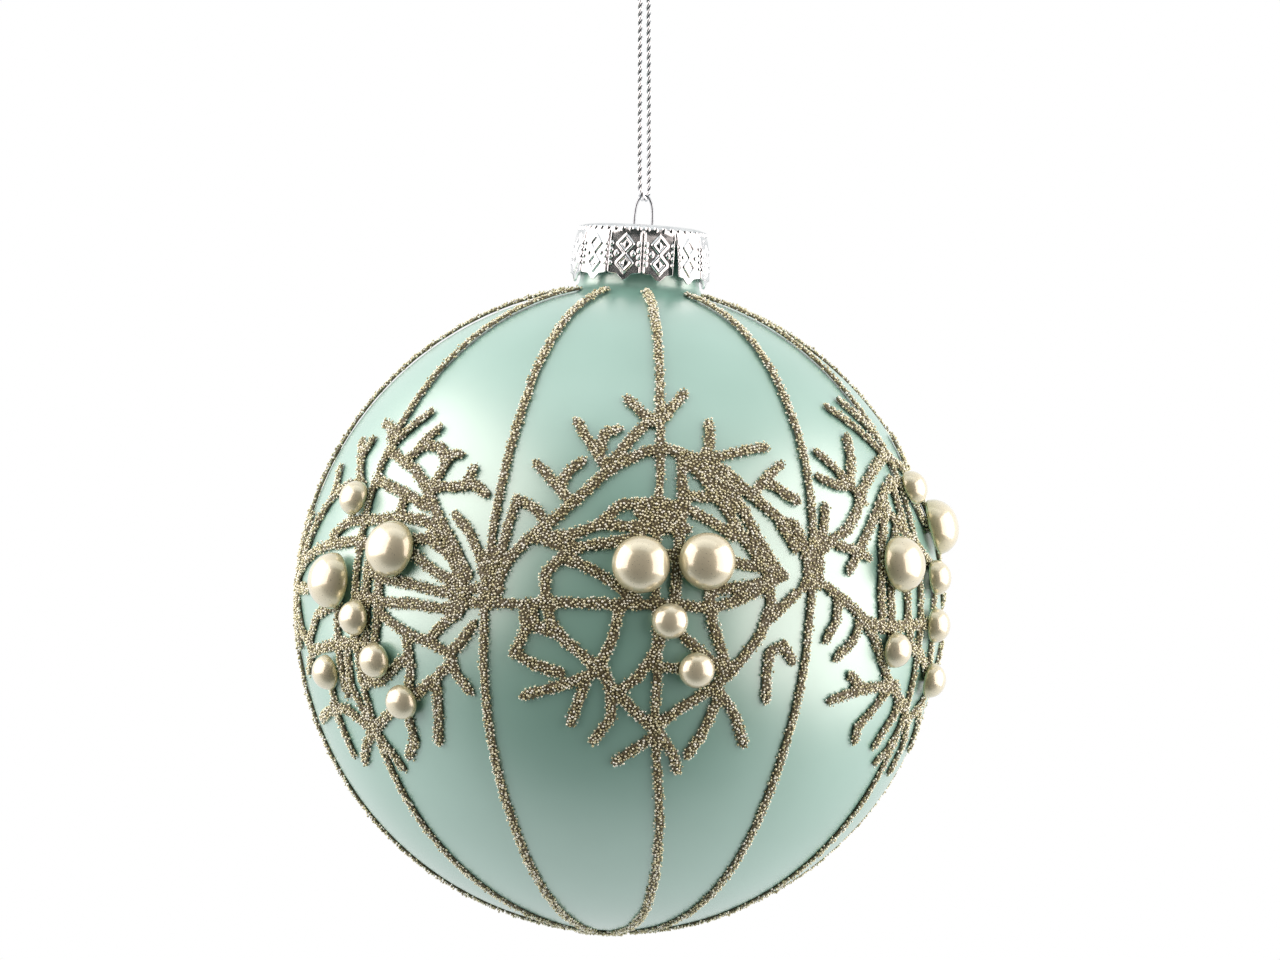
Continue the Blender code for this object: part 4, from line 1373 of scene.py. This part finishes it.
    def build_one(self, node: str) -> None:
        """Builds one trail: its ridge and its beads in one piece.

        Args:
            node: the frame's trail.
        """
        ridge_points, quads = self.ridge(node)
        centre, radius = self.bead_places(ridge_points, quads)
        shape, shape_faces = self.bead_shape()
        stretch = 1 + self.uneven * (self.chance.random((len(centre), 1, 3)) - 0.5)
        beads = centre[:, None] + shape[None] * radius[:, None, None] * stretch
        faces = shape_faces[None] + (np.arange(len(centre)) * len(shape))[:, None, None]
        first = len(ridge_points)
        piece = make_mesh(
            node.replace("trail_", "bead_trail_"),
            np.vstack([ridge_points, beads.reshape(-1, 3)]),
            [quads, faces.reshape(-1, 3) + first],
            [BeadGlueWithGapShade(), ChampagneBeads()],
        )
        slots = np.ones(len(piece.data.polygons), np.int32)
        slots[: len(quads)] = 0
        piece.data.polygons.foreach_set("material_index", slots)
        tone = np.repeat(self.chance.random(len(centre)), len(shape))
        paint(piece, "tone", np.concatenate([np.zeros(first), tone]))
        mount_piece(piece, Body.BALL, Slot.BEADS, node)

    def build(self) -> None:
        """Builds every trail."""
        for node in self.nodes:
            self.build_one(node)


# ---------------------------------------------------------------- half pearls


@dataclass
class HalfPearls:
    """Glued half pearls, one piece for each pearl of the frame.

    Below its dome a pearl has a rim and a foot, with radii that are shares of its own. The foot
    sinks into what the pearl is glued on.
    """

    place: BallPlace
    nodes: Sequence[str]
    sink: float = 0.55 * MM
    sink_share: float = 0.6
    plump: float = 1.07
    roundness: float = 0.92
    rim_height: float = 0.22 * MM
    rim_share: float = 0.95
    foot_share: float = 0.86
    foot_depth: float = 0.05 * MM
    hollow_depth: float = 0.1 * MM
    segments: int = 56
    rings: int = 22

    def build_one(self, node: str) -> None:
        """Builds one half pearl where the frame has it.

        Args:
            node: the frame's pearl.
        """
        solid = np.array([v.co for v in bpy.data.objects[node].data.vertices])
        _, distance = self.place.outward(solid)
        apex = solid[distance.argmax()]
        axis = apex - self.place.centre
        axis /= np.linalg.norm(axis)
        level = (solid - self.place.centre) @ axis
        base, top = level.min(), level.max()
        flat = (solid - self.place.centre) - level[:, None] * axis
        radius = np.linalg.norm(flat, axis=1).max() * self.plump
        height = top - base + self.sink * self.sink_share
        floor = base - self.sink
        outline = [(0.0, floor - self.hollow_depth), (radius * self.foot_share, floor - self.foot_depth)]
        outline.append((radius * self.rim_share, floor))
        for k in range(self.rings + 1):
            a = math.pi / 2 * k / self.rings
            level_up = floor + self.rim_height + height * math.sin(a)
            outline.append((radius * math.cos(a) ** self.roundness, level_up))
        outline[-1] = (0.0, outline[-1][1])
        points, faces = lathe(outline, self.segments)
        turn = Vector((0, 0, 1)).rotation_difference(Vector(axis)).to_matrix()
        share = np.clip((points[:, 2] - floor) / height, 0, 1)
        placed = points @ np.array(turn).T + self.place.centre
        pearl = make_mesh(node.replace("pearl_", "half_pearl_"), placed, faces, [PearlLacquer()])
        paint(pearl, "dome", share)
        mount_piece(pearl, Body.BALL, Slot.PEARL, node)

    def build(self) -> None:
        """Builds every pearl."""
        for node in self.nodes:
            self.build_one(node)


# ---------------------------------------------------------------- studio


@dataclass(frozen=True)
class SoftBox:
    """One rectangular studio light, aimed at the ball. Angles are degrees, lengths metres."""

    name: str
    azimuth: float
    elevation: float
    distance: float
    width: float
    height: float
    watts: float
    colour: str = "FFFFFF"

    def build(self, target: Vector) -> None:
        """Makes the light.

        Args:
            target: the point it faces.
        """
        a, e = math.radians(self.azimuth), math.radians(self.elevation)
        away = Vector((math.sin(a) * math.cos(e), -math.cos(a) * math.cos(e), math.sin(e)))
        lamp = bpy.data.lights.new(self.name, "AREA")
        lamp.shape, lamp.size, lamp.size_y = "RECTANGLE", self.width, self.height
        lamp.energy, lamp.color = self.watts, linear(self.colour)[:3]
        box = bpy.data.objects.new(self.name, lamp)
        box.location = target + away * self.distance
        box.rotation_mode = "QUATERNION"
        box.rotation_quaternion = (-away).to_track_quat("-Z", "Y")
        bpy.context.scene.collection.objects.link(box)


@dataclass
class Studio:
    """Camera, floor, surroundings and soft lights. The shift is a share of the sensor's width."""

    place: BallPlace
    camera_distance: float = 1.0
    lean_deg: float = 3.5
    sensor: float = 36.0
    lens: float = 181.46
    shift: tuple[float, float] = (0.016, 0.1012)
    clip: tuple[float, float] = (0.05, 50.0)
    floor_drop: float = 0.26
    floor_radius: float = 0.7
    floor_corners: int = 96
    dim_end: float = -1.0
    bright_end: float = 0.5
    room_stops: Stops = ((0.0, "222B28"), (0.3, "7A8280"), (0.6, "E0E2E1"), (1.0, "F8F9F8"))
    boxes: tuple[SoftBox, ...] = (
        SoftBox("left_softbox", -80, 20, 0.9, 1.5, 1.1, 13.5, "FFEDE6"),
        SoftBox("right_softbox", 76, 12, 0.9, 1.35, 1.2, 13.0, "FFEDE6"),
        SoftBox("top_softbox", -12, 70, 1.2, 1.6, 0.8, 2.2),
    )

    def build_camera(self) -> None:
        """Puts a level camera in front of the ball, rolled to the ornament's lean."""
        lean = math.radians(self.lean_deg)
        forward, up = Vector((0, 1, 0)), Vector((-math.sin(lean), 0, math.cos(lean)))
        right = forward.cross(up)
        data = bpy.data.cameras.new("studio_camera")
        data.sensor_width, data.lens = self.sensor, self.lens
        data.shift_x, data.shift_y = self.shift
        data.clip_start, data.clip_end = self.clip
        camera = bpy.data.objects.new("studio_camera", data)
        stand = Vector(self.place.centre) - forward * self.camera_distance
        turn = Matrix((right, up, -forward)).transposed().to_4x4()
        camera.matrix_world = Matrix.Translation(stand) @ turn
        bpy.context.scene.collection.objects.link(camera)
        bpy.context.scene.camera = camera

    def build_floor(self) -> None:
        """Lays a round sheet of white paper well below the ball."""
        count = self.floor_corners
        turn = 2 * math.pi * np.arange(count) / count
        edge = np.column_stack([np.cos(turn), np.sin(turn), np.zeros(count)]) * self.floor_radius
        middle = self.place.centre - np.array([0.0, 0.0, self.floor_drop])
        points = np.vstack([edge, [(0, 0, 0)]]) + middle
        around = np.arange(count)
        fans = np.stack([np.full(count, count), around, (around + 1) % count], axis=1)
        floor = make_mesh("paper_floor", points, [fans], [StudioPaper()])
        floor.visible_diffuse = floor.visible_glossy = False

    def build_surroundings(self) -> None:
        """Makes it white all round, but a dim room on the camera's side for what mirrors it."""
        world = bpy.data.worlds.new("studio")
        world.use_nodes = True
        tree = world.node_tree
        tree.nodes.clear()
        sight = add_node(tree, "ShaderNodeTexCoord").outputs["Generated"]
        parts = add_node(tree, "ShaderNodeSeparateXYZ", links={"Vector": sight})
        depth = add_node(
            tree,
            "ShaderNodeMapRange",
            {"From Min": self.dim_end, "From Max": self.bright_end, "To Min": 0.0, "To Max": 1.0},
            {"Value": parts.outputs["Y"]},
            interpolation_type="SMOOTHSTEP",
        )
        tones = add_node(tree, "ShaderNodeValToRGB", links={"Fac": depth.outputs["Result"]})
        set_ramp(tones, self.room_stops)
        room = add_node(tree, "ShaderNodeBackground", {"Strength": 1.0}, {"Color": tones.outputs["Color"]})
        white = add_node(tree, "ShaderNodeBackground", {"Color": (1, 1, 1, 1), "Strength": 1.0})
        seen = add_node(tree, "ShaderNodeLightPath").outputs["Is Camera Ray"]
        sides = {0: seen, 1: room.outputs[0], 2: white.outputs[0]}
        both = add_node(tree, "ShaderNodeMixShader", links=sides)
        add_node(tree, "ShaderNodeOutputWorld", links={"Surface": both.outputs[0]})
        bpy.context.scene.world = world

    def build(self) -> None:
        """Builds all of it."""
        self.build_camera()
        self.build_floor()
        self.build_surroundings()
        for box in self.boxes:
            box.build(Vector(self.place.centre))
        bpy.context.scene.view_settings.view_transform = "Standard"


def main() -> None:
    """Builds the whole ornament around the frame."""
    logging.basicConfig(level=logging.INFO, format="%(message)s")
    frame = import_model()
    place = BallPlace.from_frame()
    names = sorted(frame["nodes"])
    Studio(place).build()
    HangingCord().build()
    WireHanger(place).build()
    CrownCap(place).build()
    GlassBall(place).build()
    BeadTrails(place, [n for n in names if n.startswith("trail_")]).build()
    HalfPearls(place, [n for n in names if n.startswith("pearl_")]).build()


if __name__ == "__main__":
    main()
